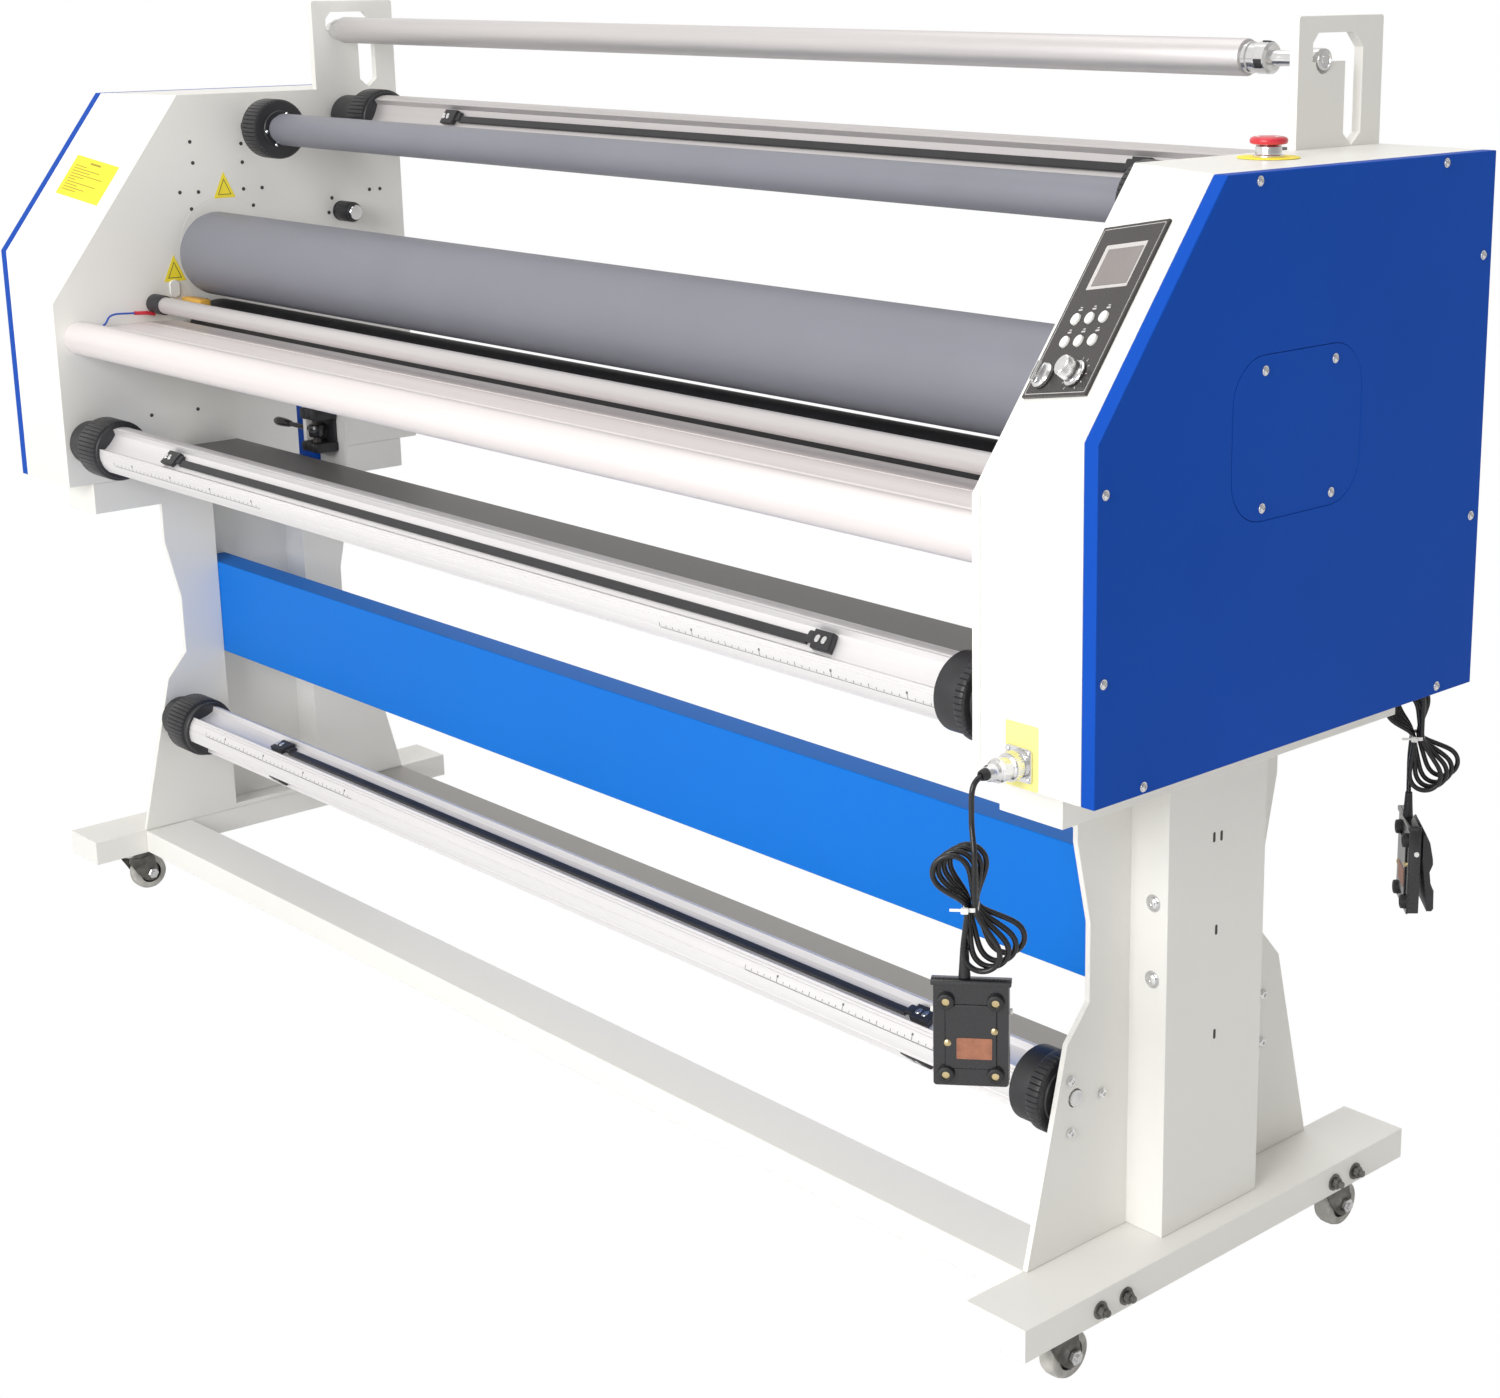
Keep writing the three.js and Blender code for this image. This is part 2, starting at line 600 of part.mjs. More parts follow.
// ---------------------------------------------------------------- casters
function addCaster(name, x, y, sense) {
  const group = new THREE.Group();
  group.position.set(x, y, 0);
  laminator.add(group);
  const { wheelR, wheelHalf, trail, crownR, crownZ, top } = CASTER;
  const { t, clear, topHalf, footHalf, footZ } = CHEEK;
  const ty = trail * sense;
  const crown = cylinderZ(crownR, crownZ, top);
  const cheekShape = polygon([
    [-topHalf, top], [ty - footHalf, footZ], [ty + footHalf, footZ], [topHalf, top],
  ]);
  const cheeks = [-1, 1].map((s) => {
    const middle = s * (wheelHalf + clear + t / 2);
    return plateX(cheekShape, middle - t / 2, middle + t / 2);
  });
  const axle = cylinderX(4, -wheelHalf - 8, wheelHalf + 8, ty, wheelR, 10);
  add(`${name}_fork`, joinAndCut([crown, ...cheeks, axle]), darkSteel, group);
  const wheel = turnedX([
    [4.4, -wheelHalf], [wheelR - 3, -wheelHalf], [wheelR, -wheelHalf + 3],
    [wheelR, wheelHalf - 3], [wheelR - 3, wheelHalf], [4.4, wheelHalf], [4.4, -wheelHalf],
  ]);
  add(`${name}_wheel`, wheel, rubber, group).position.set(0, ty, wheelR);
}

// ---------------------------------------------------------------- foot switches
function makeConnector({ side }) {
  const flange = box(-15, 15, 0, 3, -15, 15);
  const body = turned([
    [0, 2], [12, 2], [12, 16], [10.5, 17], [10.5, 30], [8, 32], [7, CONNECTOR.reach], [0, CONNECTOR.reach],
  ]);
  const geometry = joinAndCut([flange, body]);
  return side > 0 ? geometry : geometry.rotateZ(Math.PI);
}

// The cord leaves the connector straight, turns down and hangs to the top of its hank.
function makeCordTube({ x, side, face, hankTop }) {
  const y0 = face + side * (CONNECTOR.reach + 2 * GAP);
  const y1 = y0 + side * 4;
  const y2 = y1 + side * CORD.bend;
  const z0 = CONNECTOR.z;
  const s = CORD.bend * (1 - Math.SQRT1_2);
  const points = [
    [x, y0, z0], [x, y1, z0], [x, y2 - side * s, z0 - s], [x, y2, z0 - CORD.bend],
    [x, y2, 595], [x, y2, 580], [x, y2, hankTop + GAP],
  ].map((p) => new THREE.Vector3(...p));
  const path = new THREE.CatmullRomCurve3(points, false, 'centripetal');
  const section = new THREE.Shape().absarc(0, 0, CORD.r, 0, Math.PI * 2);
  return new THREE.ExtrudeGeometry(section, { steps: 14, extrudePath: path, curveSegments: 4 });
}

// Outer shape of the hank: runs gathered at the tie, folds fanned out above and below it, and the
// last run hanging straight down to the pedal.
function makeHank(height) {
  const { depth, tie, fan, tieHalf } = HANK;
  const shape = new THREE.Shape();
  shape.moveTo(tieHalf, tie + 6);
  shape.lineTo(12, -8);
  shape.lineTo(3, 0);
  shape.lineTo(-24, 0);
  shape.lineTo(-44, -20);
  shape.lineTo(-tieHalf, tie + 6);
  shape.lineTo(-tieHalf, tie - 6);
  shape.lineTo(-10, tie - 30);
  shape.lineTo(-9, -height);
  shape.lineTo(-3, -height);
  for (let angle = -92; angle <= -32; angle += 10) {
    const a = THREE.MathUtils.degToRad(angle);
    shape.lineTo(fan * Math.cos(a), tie + fan * Math.sin(a));
  }
  shape.lineTo(tieHalf, tie - 6);
  const geometry = new THREE.ExtrudeGeometry(shape, { depth, bevelEnabled: false, curveSegments: 6 });
  return geometry.translate(0, 0, -depth / 2).rotateX(Math.PI / 2);
}

// Pan with the cable entry and the hinge pins; its underside faces local -Y.
function makePedalPan() {
  const { width: w, height: h, pan, pivot } = PEDAL;
  const outer = box(-w / 2, w / 2, 0, pan, -h, 0);
  const inside = box(-w / 2 + 2, w / 2 - 2, 2, pan + 1, -h + 2, -10);
  const pinHoles = cylinderX(3, -w / 2 - 2, w / 2 + 2, pan - 5, -pivot, 12);
  return joinAndCut([outer], [inside, pinHoles]);
}

// Treadle: a shallow wedge cover behind the pan, turning on pins near its top.
function makeTreadle() {
  const { width: w, height: h, pan, pivot } = PEDAL;
  const side = polygon([
    [pan + 1, -11], [pan + 5, -9], [pan + 10, -22], [pan + 13, -pivot - 8], [pan + 9, -pivot - 20],
    [pan + 15, -h + 22], [pan + 15, -h + 3], [pan + 9, -h + 3], [pan + 1, -pivot - 6],
  ].toReversed());
  const cover = plateX(side, -w / 2 + 1, w / 2 - 1);
  const lug = box(-w / 2 + 6, w / 2 - 6, pan - 7, pan + 4, -pivot - 4, -pivot + 4);
  const shaft = cylinderX(2.4, -w / 2 - 1.5, w / 2 + 1.5, pan - 5, -pivot, 12);
  return joinAndCut([cover, lug, shaft]);
}

function addFootSwitch(name, spec) {
  const { x, side, face, hankYaw, pedalYaw, hankTop, pedalTop } = spec;
  const connector = add(`${name}_connector`, makeConnector(spec), steel);
  connector.position.set(x, face + side * GAP, CONNECTOR.z);
  add(`${name}_cord`, makeCordTube(spec), rubber);
  const hangY = face + side * (CONNECTOR.reach + 2 * GAP + 4 + CORD.bend);
  const hank = new THREE.Group();
  hank.position.set(x, hangY, hankTop);
  hank.rotation.z = THREE.MathUtils.degToRad(hankYaw);
  laminator.add(hank);
  add(`${name}_cord_hank`, makeHank(hankTop - pedalTop - GAP), rubber, hank);
  const pedal = new THREE.Group();
  pedal.position.set(x, hangY, pedalTop);
  pedal.rotation.z = THREE.MathUtils.degToRad(pedalYaw);
  laminator.add(pedal);
  add(`${name}_pan`, makePedalPan(), black, pedal).position.set(0, -9, 0);
  add(`${name}_treadle`, makeTreadle(), black, pedal).position.set(0, -9, 0);
}

// ---------------------------------------------------------------- assembly
addPair('foot', makeFoot(), white);
addPair('leg', makeLeg(), white);
const sillEnd = FOOT.in - GAP;
add('front_cross_beam', makeTube(sillEnd, -SILL.outer, -SILL.inner, SILL.bottom, SILL.top, 2.5), white);
add('rear_cross_beam', makeTube(sillEnd, SILL.inner, SILL.outer, SILL.bottom, SILL.top, 2.5), white);
const beamEnd = LEG.postOut - LEG.wall - GAP;
add('stretcher_beam', makeTube(beamEnd, BEAM.front, BEAM.back, BEAM.bottom, BEAM.top, 2), beamBlue);
add('tie_beam', makeTube(INNER - GAP, TIE.front, TIE.back, TIE.bottom, TIE.top, 2.5), white);

addPair('side_plate', makeSidePlate(), white);
add('cabinet_shell_right', makeShell(true), white);
add('cabinet_shell_left', mirroredX(makeShell(false)), white);
add('cabinet_cover_right', makeCover(true), blue);
add('cabinet_cover_left', mirroredX(makeCover(false)), blue);
add('service_hatch', makeHatch(), blue);

add('feed_table', makeTable(), aluminium);

function addTurned(name, geometry, material, { y, z }) {
  add(name, geometry, material).position.set(0, y, z);
}
addTurned('upper_roller', makeMainRoller(), silicone, MAIN);
addTurned('lower_roller', makeLowerRoller(), rubber, LOWER);
addTurned('feed_idler', makeIdler(), aluminium, IDLER);
addTurned('front_take_up_shaft', makeShaft(TAKE_UP.r, 78, 50), aluminium, TAKE_UP);
addTurned('lower_media_shaft', makeShaft(BOTTOM.r, 104, 36), aluminium, BOTTOM);
addTurned('film_supply_shaft', makeShaft(SUPPLY.r, 84, 84), silicone, SUPPLY);
addTurned('rear_media_shaft', makeShaft(REAR.r, 84, 84), aluminium, REAR);
addTurned('top_tube', makeTopTube(), aluminium, TOP_TUBE);
addPair('roller_bearing_block', makeBearingBlock(), darkSteel);

addPanel();
addEmergencyStop();
add('drive_gear_motor', makeGearMotor(), darkSteel);
addTurned('motor_sprocket', makeMotorSprocket(), steel, DRIVE);
add('tension_knob', makeTensionKnob(), black).position.set(-INNER, ...TENSION_KNOB_AT);
add('clamp_bracket', makeClampBracket(), blue);
add('clamp_lever', makeClampLever(), black).position.set(CLAMP.x, CLAMP.y, CLAMP.z);

addCaster('front_right_caster', CASTER.x, -CASTER.y, 1);
addCaster('front_left_caster', -CASTER.x, -CASTER.y, 1);
addCaster('rear_right_caster', CASTER.x, CASTER.y, 1);
addCaster('rear_left_caster', -CASTER.x, CASTER.y, 1);

addFootSwitch('front_foot_switch', FRONT_CORD);
addFootSwitch('rear_foot_switch', BACK_CORD);

export default laminator;
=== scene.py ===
"""The look of a wide-format cold roll laminator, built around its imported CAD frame.

Everything is in metres in the part's own frame: X runs along the rollers, -Y is the operator's
side and Z is up. MM turns a length in millimetres into metres.
"""

import json
from itertools import product
from math import acos, atan2, cos, degrees, hypot, pi, radians, sin

import bmesh
import bpy
from mathutils import Matrix, Vector


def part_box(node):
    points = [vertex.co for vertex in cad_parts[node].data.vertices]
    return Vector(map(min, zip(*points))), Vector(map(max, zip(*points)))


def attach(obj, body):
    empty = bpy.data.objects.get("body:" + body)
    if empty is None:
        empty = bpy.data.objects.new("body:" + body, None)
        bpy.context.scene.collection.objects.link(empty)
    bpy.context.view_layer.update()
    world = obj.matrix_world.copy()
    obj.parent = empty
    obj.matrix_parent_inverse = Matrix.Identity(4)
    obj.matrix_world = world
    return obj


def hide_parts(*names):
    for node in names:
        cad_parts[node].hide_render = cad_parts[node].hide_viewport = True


MM = 0.001
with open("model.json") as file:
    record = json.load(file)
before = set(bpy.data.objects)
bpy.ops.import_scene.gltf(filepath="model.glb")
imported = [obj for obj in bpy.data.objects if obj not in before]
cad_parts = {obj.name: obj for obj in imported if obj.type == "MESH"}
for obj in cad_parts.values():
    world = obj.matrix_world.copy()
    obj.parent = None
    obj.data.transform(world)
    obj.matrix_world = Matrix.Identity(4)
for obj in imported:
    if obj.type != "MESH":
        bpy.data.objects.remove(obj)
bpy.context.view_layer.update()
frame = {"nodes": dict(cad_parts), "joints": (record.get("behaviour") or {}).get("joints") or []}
NODES = frame["nodes"]
PIVOT = {j["child"]: Vector(j["pos_m"]) for j in frame["joints"] if j.get("pos_m")}
AXIS = {j["child"]: Vector(j["axis"]) for j in frame["joints"]}
X, Y, Z = Vector((1, 0, 0)), Vector((0, 1, 0)), Vector((0, 0, 1))
CASTERS = [f"{end}_{side}_caster" for end in ("front", "rear") for side in ("right", "left")]


def add_object(name, data):
    thing = bpy.data.objects.new(name, data)
    bpy.context.scene.collection.objects.link(thing)
    return thing


# ---------------------------------------------------------------- camera, stage and light
def add_camera():
    azimuth, pitch, roll = (radians(a) for a in (45.574, 14.449, -0.188))
    look = Vector((-sin(azimuth) * cos(pitch), cos(azimuth) * cos(pitch), -sin(pitch)))
    side = look.cross(Z).normalized()
    up = side.cross(look)
    right = side * cos(roll) + up * sin(roll)
    above = up * cos(roll) - side * sin(roll)
    data = bpy.data.cameras.new("camera")
    data.sensor_width = 36
    data.lens = 59.71
    data.shift_x = -0.1385
    data.shift_y = -0.0627
    data.clip_start = 0.05
    camera = add_object("camera", data)
    camera.matrix_world = Matrix((right, above, -look)).transposed().to_4x4()
    camera.location = Vector((2286.26, -1694.51, 1263.73)) * MM
    bpy.context.scene.camera = camera


def add_light(name, place, target, size, power):
    data = bpy.data.lights.new(name, "AREA")
    data.shape = "RECTANGLE"
    data.size, data.size_y = size
    data.energy = power
    light = add_object(name, data)
    light.location = place
    light.rotation_euler = (Vector(target) - Vector(place)).to_track_quat("-Z", "Y").to_euler()


def white_to_camera(tree, shader, output):
    """The camera sees plain white; every other ray sees shader."""
    paper = add_node(tree, "ShaderNodeEmission")
    rays = add_node(tree, "ShaderNodeLightPath")
    mix = add_node(tree, "ShaderNodeMixShader")
    tree.links.new(rays.outputs["Is Camera Ray"], mix.inputs[0])
    tree.links.new(shader.outputs[0], mix.inputs[1])
    tree.links.new(paper.outputs[0], mix.inputs[2])
    tree.links.new(mix.outputs[0], output.inputs["Surface"])


def add_world():
    """A studio that is brighter towards the operator's side and dimmer towards +X and the floor."""
    world = bpy.data.worlds.new("studio")
    world.use_nodes = True
    tree = world.node_tree
    shader = tree.nodes["Background"]
    where = add_node(tree, "ShaderNodeTexCoord")
    split = add_node(tree, "ShaderNodeSeparateXYZ")
    tree.links.new(where.outputs["Generated"], split.inputs[0])
    strength = ramp_value(tree, split.outputs["X"], *WORLD_STRENGTH, -0.7, 0.9)
    tree.links.new(strength, shader.inputs["Strength"])
    shader.inputs["Color"].default_value = (1, 0.985, 0.955, 1)
    white_to_camera(tree, shader, tree.nodes["World Output"])
    bpy.context.scene.world = world


WORLD_STRENGTH = (0.95, 0.42)


def add_stage():
    mesh = bpy.data.meshes.new("floor")
    half = 14
    mesh.from_pydata([(-half, -half, 0), (half, -half, 0), (half, half, 0), (-half, half, 0)], [], [(0, 1, 2, 3)])
    floor = add_object("floor", mesh)
    floor.location.z = -0.0005
    paper = bpy.data.materials.new("paper_floor")
    paper.use_nodes = True
    shader = paper.node_tree.nodes["Principled BSDF"]
    shader.inputs["Base Color"].default_value = (0.80, 0.80, 0.80, 1)
    shader.inputs["Roughness"].default_value = 0.9
    white_to_camera(paper.node_tree, shader, paper.node_tree.nodes["Material Output"])
    mesh.materials.append(paper)
    add_world()
    bpy.context.scene.view_settings.view_transform = "Standard"
    add_light("key", (1.5, -4.7, 2.4), (0, 0, 0.7), (3.0, 2.6), 180)
    add_light("top", (0.2, 0.2, 4.6), (0, 0, 0.5), (4.0, 3.0), 44)


# ---------------------------------------------------------------- materials
def add_node(tree, kind, **settings):
    node = tree.nodes.new(kind)
    for name, value in settings.items():
        if name in node.inputs:
            node.inputs[name].default_value = value
        else:
            setattr(node, name, value)
    return node


def noise(tree, coords, scale, stretch=(1, 1, 1), detail=3.0):
    """A noise field; stretch scales the coordinates, so a large value means fine across that axis."""
    mapping = add_node(tree, "ShaderNodeMapping", Scale=stretch)
    tree.links.new(coords, mapping.inputs["Vector"])
    field = add_node(tree, "ShaderNodeTexNoise", Scale=scale, Detail=detail)
    tree.links.new(mapping.outputs["Vector"], field.inputs["Vector"])
    return field.outputs["Fac"]


def ramp_value(tree, value, low, high, bottom=0.3, top=0.7):
    ends = {"To Min": low, "To Max": high, "From Min": bottom, "From Max": top}
    node = add_node(tree, "ShaderNodeMapRange", **ends)
    tree.links.new(value, node.inputs["Value"])
    return node.outputs["Result"]


def surface(name, slot, colour, rough, metal=0.0, tone=0.04, tone_scale=4, grain=0.0, grain_scale=900,
            stretch=(1, 1, 1), spread=0.06, coat=0.0, shine=0.5):
    """A procedural finish: colour drifts by tone, roughness by spread, and grain is the bump in mm.
    The slot names the record's material, None where it names none; it is not used."""
    material = bpy.data.materials.new(name)
    material.use_nodes = True
    tree = material.node_tree
    shader = tree.nodes["Principled BSDF"]
    shader.inputs["Metallic"].default_value = metal
    if coat:
        shader.inputs["Coat Weight"].default_value = coat
        shader.inputs["Coat Roughness"].default_value = 0.12
    shader.inputs["Specular IOR Level"].default_value = shine
    coords = add_node(tree, "ShaderNodeTexCoord").outputs["Object"]
    drift = ramp_value(tree, noise(tree, coords, tone_scale, stretch), 0, 1)
    mix = add_node(tree, "ShaderNodeMix", data_type="RGBA")
    mix.inputs[6].default_value = (*(c * (1 - tone) for c in colour), 1)
    mix.inputs[7].default_value = (*(min(1, c * (1 + tone)) for c in colour), 1)
    tree.links.new(drift, mix.inputs["Factor"])
    tree.links.new(mix.outputs[2], shader.inputs["Base Color"])
    fine = noise(tree, coords, grain_scale, stretch, 2.0)
    tree.links.new(ramp_value(tree, fine, rough - spread, rough + spread), shader.inputs["Roughness"])
    if grain:
        bump = add_node(tree, "ShaderNodeBump", Strength=0.5)
        bump.inputs["Distance"].default_value = grain * MM
        tree.links.new(fine, bump.inputs["Height"])
        tree.links.new(bump.outputs["Normal"], shader.inputs["Normal"])
    return material


BRUSHED = {"tone": 0.05, "tone_scale": 60, "grain": 0.04, "grain_scale": 700, "stretch": (0.02, 1, 1)}
WHITE = surface("powder_white", "white_paint", (0.83, 0.82, 0.785), 0.42, 0, 0.012, 3, 0.05, 1100)
BLUE = surface("powder_blue", "blue_paint", (0.002, 0.068, 0.43), 0.52, 0, 0.05, 3, 0.05, 1100, shine=0.12)
# The stretcher beam wears the covers' blue paint; this lighter copy is painted light, for the front light that falls on
# the beam.
BEAM_BLUE_LIT = surface("beam_blue_painted_light", "beam_blue_paint", (0.003, 0.165, 0.64), 0.5, 0, 0.04, 2, 0.04, shine=0.14)
# The tie beam is white paint; this grey is painted shade, for the feed table's shadow that falls on it.
TIE_PAINTED_SHADE = surface("tie_beam_painted_shade", "white_paint", (0.155, 0.148, 0.145), 0.45, 0, 0.03, 3, 0.05)
# The rear cross beam is white paint; this grey is painted shade, for the shade it stands in at the back of the frame.
REAR_PAINTED_SHADE = surface("rear_beam_painted_shade", "white_paint", (0.33, 0.315, 0.295), 0.45, 0, 0.03, 3, 0.05)
ALUMINIUM = surface("satin_aluminium", "aluminium", (0.80, 0.78, 0.79), 0.46, 0.45, **BRUSHED)
TUBE_ALU = surface("tube_aluminium", "aluminium", (0.64, 0.615, 0.615), 0.45, 0.6, **BRUSHED)
TABLE_ALU = surface("table_aluminium", "aluminium", (0.78, 0.735, 0.73), 0.5, 0.25,
                    **{**BRUSHED, "grain": 0.05, "grain_scale": 600})
SILICONE = surface("grey_silicone", "silicone_rubber", (0.205, 0.208, 0.245), 0.5, 0, 0.03, 8, 0.04, 1400)
RUBBER = surface("black_rubber", "black_rubber", (0.016, 0.016, 0.018), 0.55, 0, 0.2, 20, 0.05)
CORD_JACKET = surface("cord_jacket", "black_rubber", (0.010, 0.010, 0.012), 0.3, 0, 0.2, 40, 0.02)
TREAD = surface("caster_tread", "caster_tyre", (0.47, 0.46, 0.43), 0.55, 0, 0.3, 60, 0.15, 500)
PLASTIC = surface("moulded_black", "black_plastic", (0.022, 0.022, 0.025), 0.42, 0, 0.15, 30, 0.08, 1500)
GLOSS_BLACK = surface("glossy_black", "black_plastic", (0.013, 0.013, 0.016), 0.25, 0, 0.1, grain=0.03, coat=0.4)
PANEL_BLACK = surface("panel_black", "black_plastic", (0.03, 0.026, 0.026), 0.3, 0, 0.06, 25, 0.03)
STEEL = surface("bright_steel", "bright_steel", (0.78, 0.78, 0.79), 0.2, 1, 0.05, 80, 0.01)
TURNED = surface("turned_steel", "bright_steel", (0.72, 0.72, 0.73), 0.28, 1, 0.08, 120, 0.03)
DARK_STEEL = surface("dark_steel", "dark_steel", (0.15, 0.145, 0.135), 0.38, 0.7, 0.45, 70, 0.05, 700)
BRASS = surface("brass", None, (0.62, 0.50, 0.28), 0.32, 1, 0.1, 100)
COPPER = surface("bronze_plate", None, (0.36, 0.15, 0.09), 0.45, 0.3, 0.2, 120)
IVORY = surface("ivory_keys", "ivory_plastic", (0.80, 0.79, 0.76), 0.35, 0, 0.03, grain=0.01)
RED = surface("red_cap", "red_plastic", (0.62, 0.025, 0.045), 0.3, 0, 0.06, 40, coat=0.3)
YELLOW = surface("yellow_label", "yellow_plastic", (0.98, 0.80, 0.045), 0.5, 0, 0.04, 30)
AMBER = surface("amber_plastic", None, (0.85, 0.48, 0.08), 0.4, 0, 0.1, 30)
NYLON = surface("white_nylon", None, (0.85, 0.85, 0.84), 0.4, 0, 0.02)
PALE_YELLOW = surface("pale_label", "yellow_plastic", (0.86, 0.80, 0.28), 0.5, 0, 0.04, 30)
PRINT = surface("grey_print", None, (0.16, 0.16, 0.17), 0.6, 0, 0.1)
LABEL_PRINT = surface("label_print", None, (0.42, 0.33, 0.03), 0.55, 0, 0.1)
PALE_PRINT = surface("pale_print", None, (0.55, 0.53, 0.52), 0.5, 0, 0.1)
SCREEN = surface("display_glass", None, (0.20, 0.175, 0.17), 0.12, 0, 0.08, 20, coat=0.6)
# A dark grey: painted shade inside holes, slots and the table's groove, and also the black print of the triangle
# labels' borders.
HOLE_SHADE_AND_PRINT = surface("hole_shade_and_print", None, (0.05, 0.05, 0.05), 0.7, 0, 0.1)
WIRE_BLUE = surface("blue_wire", None, (0.02, 0.08, 0.45), 0.4, 0, 0.1)


# ---------------------------------------------------------------- mesh helpers
def soften(mesh, smooth_angle):
    work = bmesh.new()
    work.from_mesh(mesh)
    bmesh.ops.remove_doubles(work, verts=work.verts, dist=1e-6)
    bmesh.ops.recalc_face_normals(work, faces=work.faces)
    limit = radians(smooth_angle)
    for face in work.faces:
        face.smooth = True
    for edge in work.edges:
        edge.smooth = len(edge.link_faces) == 2 and edge.calc_face_angle(0) < limit
    work.to_mesh(mesh)
    work.free()


def polar(radius, angle, *rest):
    """A point at an angle in radians, followed by any further coordinates."""
    return (radius * cos(angle), radius * sin(angle), *rest)


def basis(origin, normal, along=None):
    """A matrix whose Z is normal and whose X is as near to along as it can be."""
    z = Vector(normal).normalized()
    along = Vector(along) if along else (X if abs(z.x) < 0.9 else Y)
    x = (along - z * along.dot(z)).normalized()
    return Matrix.Translation(origin) @ Matrix((x, z.cross(x), z)).transposed().to_4x4()


class Shape:
    """Collects closed parts in millimetres, each placed by a matrix in metres."""

    def __init__(self):
        self.vertices = []
        self.faces = []

    def put(self, vertices, faces, place=None):
        start = len(self.vertices)
        scaled = [Vector(v) * MM for v in vertices]
        self.vertices += [place @ v for v in scaled] if place else scaled
        self.faces += [tuple(start + i for i in face) for face in faces]
        return self

    def loft(self, rings, place=None, closed=False):
        """Rings of equally many points, capped at both ends unless closed on itself."""
        count = len(rings[0])
        faces = []
        steps = len(rings) if closed else len(rings) - 1
        for i in range(steps):
            a, b = i * count, ((i + 1) % len(rings)) * count
            faces += [(a + j, a + (j + 1) % count, b + (j + 1) % count, b + j) for j in range(count)]
        if not closed:
            faces.append(tuple(reversed(range(count))))
            faces.append(tuple((len(rings) - 1) * count + j for j in range(count)))
        return self.put([p for ring in rings for p in ring], faces, place)

    def turn(self, profile, place=None, sides=48):
        """A turned solid about Z: (radius, height) pairs, from one end to the other."""
        return self.loft([[polar(max(radius, 0.02), 2 * pi * k / sides, height) for k in range(sides)]
                          for radius, height in profile], place)

    def rod(self, radius, z0, z1, place=None, sides=48):
        return self.turn([(0, z0), (radius, z0), (radius, z1), (0, z1)], place, sides)

    def ring(self, profile, place=None, sides=48):
        """A turned ring about Z whose profile closes on itself."""
        return self.loft([[polar(r, 2 * pi * k / sides, h) for r, h in profile] for k in range(sides)], place, True)

    def prism(self, outline, z0, z1, place=None, bevel=0.0):
        """An outline in XY raised from z0 to z1, its top and bottom edges chamfered by bevel."""
        if not bevel:
            return self.loft([[(x, y, z) for x, y in outline] for z in (z0, z1)], place)
        cx = sum(p[0] for p in outline) / len(outline)
        cy = sum(p[1] for p in outline) / len(outline)
        size = max(hypot(x - cx, y - cy) for x, y in outline)
        k = 1 - bevel / size
        small = [(cx + (x - cx) * k, cy + (y - cy) * k) for x, y in outline]
        rings = [(small, z0), (outline, z0 + bevel), (outline, z1 - bevel), (small, z1)]
        return self.loft([[(x, y, z) for x, y in ring] for ring, z in rings], place)

    def block(self, size, place=None, bevel=0.6):
        """A box centred on the place's origin, its edges rounded by chamfers."""
        sx, sy, sz = (s / 2 for s in size)
        b = min(bevel, 0.45 * min(size))
        c = b * 0.3

        def ring(inset, z):
            w, h = sx - inset, sy - inset
            return [(w, -h + b, z), (w, h - b, z), (w - c, h - c, z), (w - b, h, z), (-w + b, h, z),
                    (-w + c, h - c, z), (-w, h - b, z), (-w, -h + b, z), (-w + c, -h + c, z), (-w + b, -h, z),
                    (w - b, -h, z), (w - c, -h + c, z)]

        levels = [(b, -sz), (c, -sz + c), (0, -sz + b), (0, sz - b), (c, sz - c), (b, sz)]
        return self.loft([ring(inset, z) for inset, z in levels], place)

    def tube(self, points, radius, place=None, sides=12):
        """A round bar along points in millimetres, capped at its ends."""
        path = [Vector(p) for p in points]
        rings = []
        side = None
        for i, p in enumerate(path):
            ahead = (path[min(i + 1, len(path) - 1)] - path[max(i - 1, 0)]).normalized()
            side = side if side else (X if abs(ahead.x) < 0.9 else Y)
            side = (side - ahead * side.dot(ahead)).normalized()
            across = ahead.cross(side)
            rings.append([p + (side * cos(a) + across * sin(a)) * radius
                          for a in (2 * pi * k / sides for k in range(sides))])
        return self.loft(rings, place)

    def piece(self, name, material, body="frame", smooth_angle=35, replaces=None):
        """The parts as one object that rides on a body, and stands for the CAD node that it replaces."""
        mesh = bpy.data.meshes.new(name)
        mesh.from_pydata([tuple(v) for v in self.vertices], [], self.faces)
        mesh.validate()
        mesh.materials.append(material)
        piece = add_object(name, mesh)
        soften(mesh, smooth_angle)
        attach(piece, body)
        if replaces:
            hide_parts(replaces)
        return piece


def facing(x, y, z, normal, along=None):
    return basis(Vector((x, y, z)) * MM, normal, along)


def along_x(x, y, z, sense=1):
    """A place whose Z runs along the machine's X, for turned pieces, or against it where sense is -1."""
    return facing(x, y, z, X * sense, Y)


def shift(x, y, z=0.0):
    return Matrix.Translation(Vector((x, y, z)) * MM)


def rounded(width, height, radius, steps=6):
    """A rectangle's outline with round corners, centred on the origin."""
    points = []
    for cx, cy, start in ((1, 1, 0), (-1, 1, 90), (-1, -1, 180), (1, -1, 270)):
        for i in range(steps + 1):
            x, y = polar(radius, radians(start + 90 * i / steps))
            points.append((cx * (width / 2 - radius) + x, cy * (height / 2 - radius) + y))
    return points


def circle(radius, sides):
    return [polar(radius, 2 * pi * k / sides) for k in range(sides)]


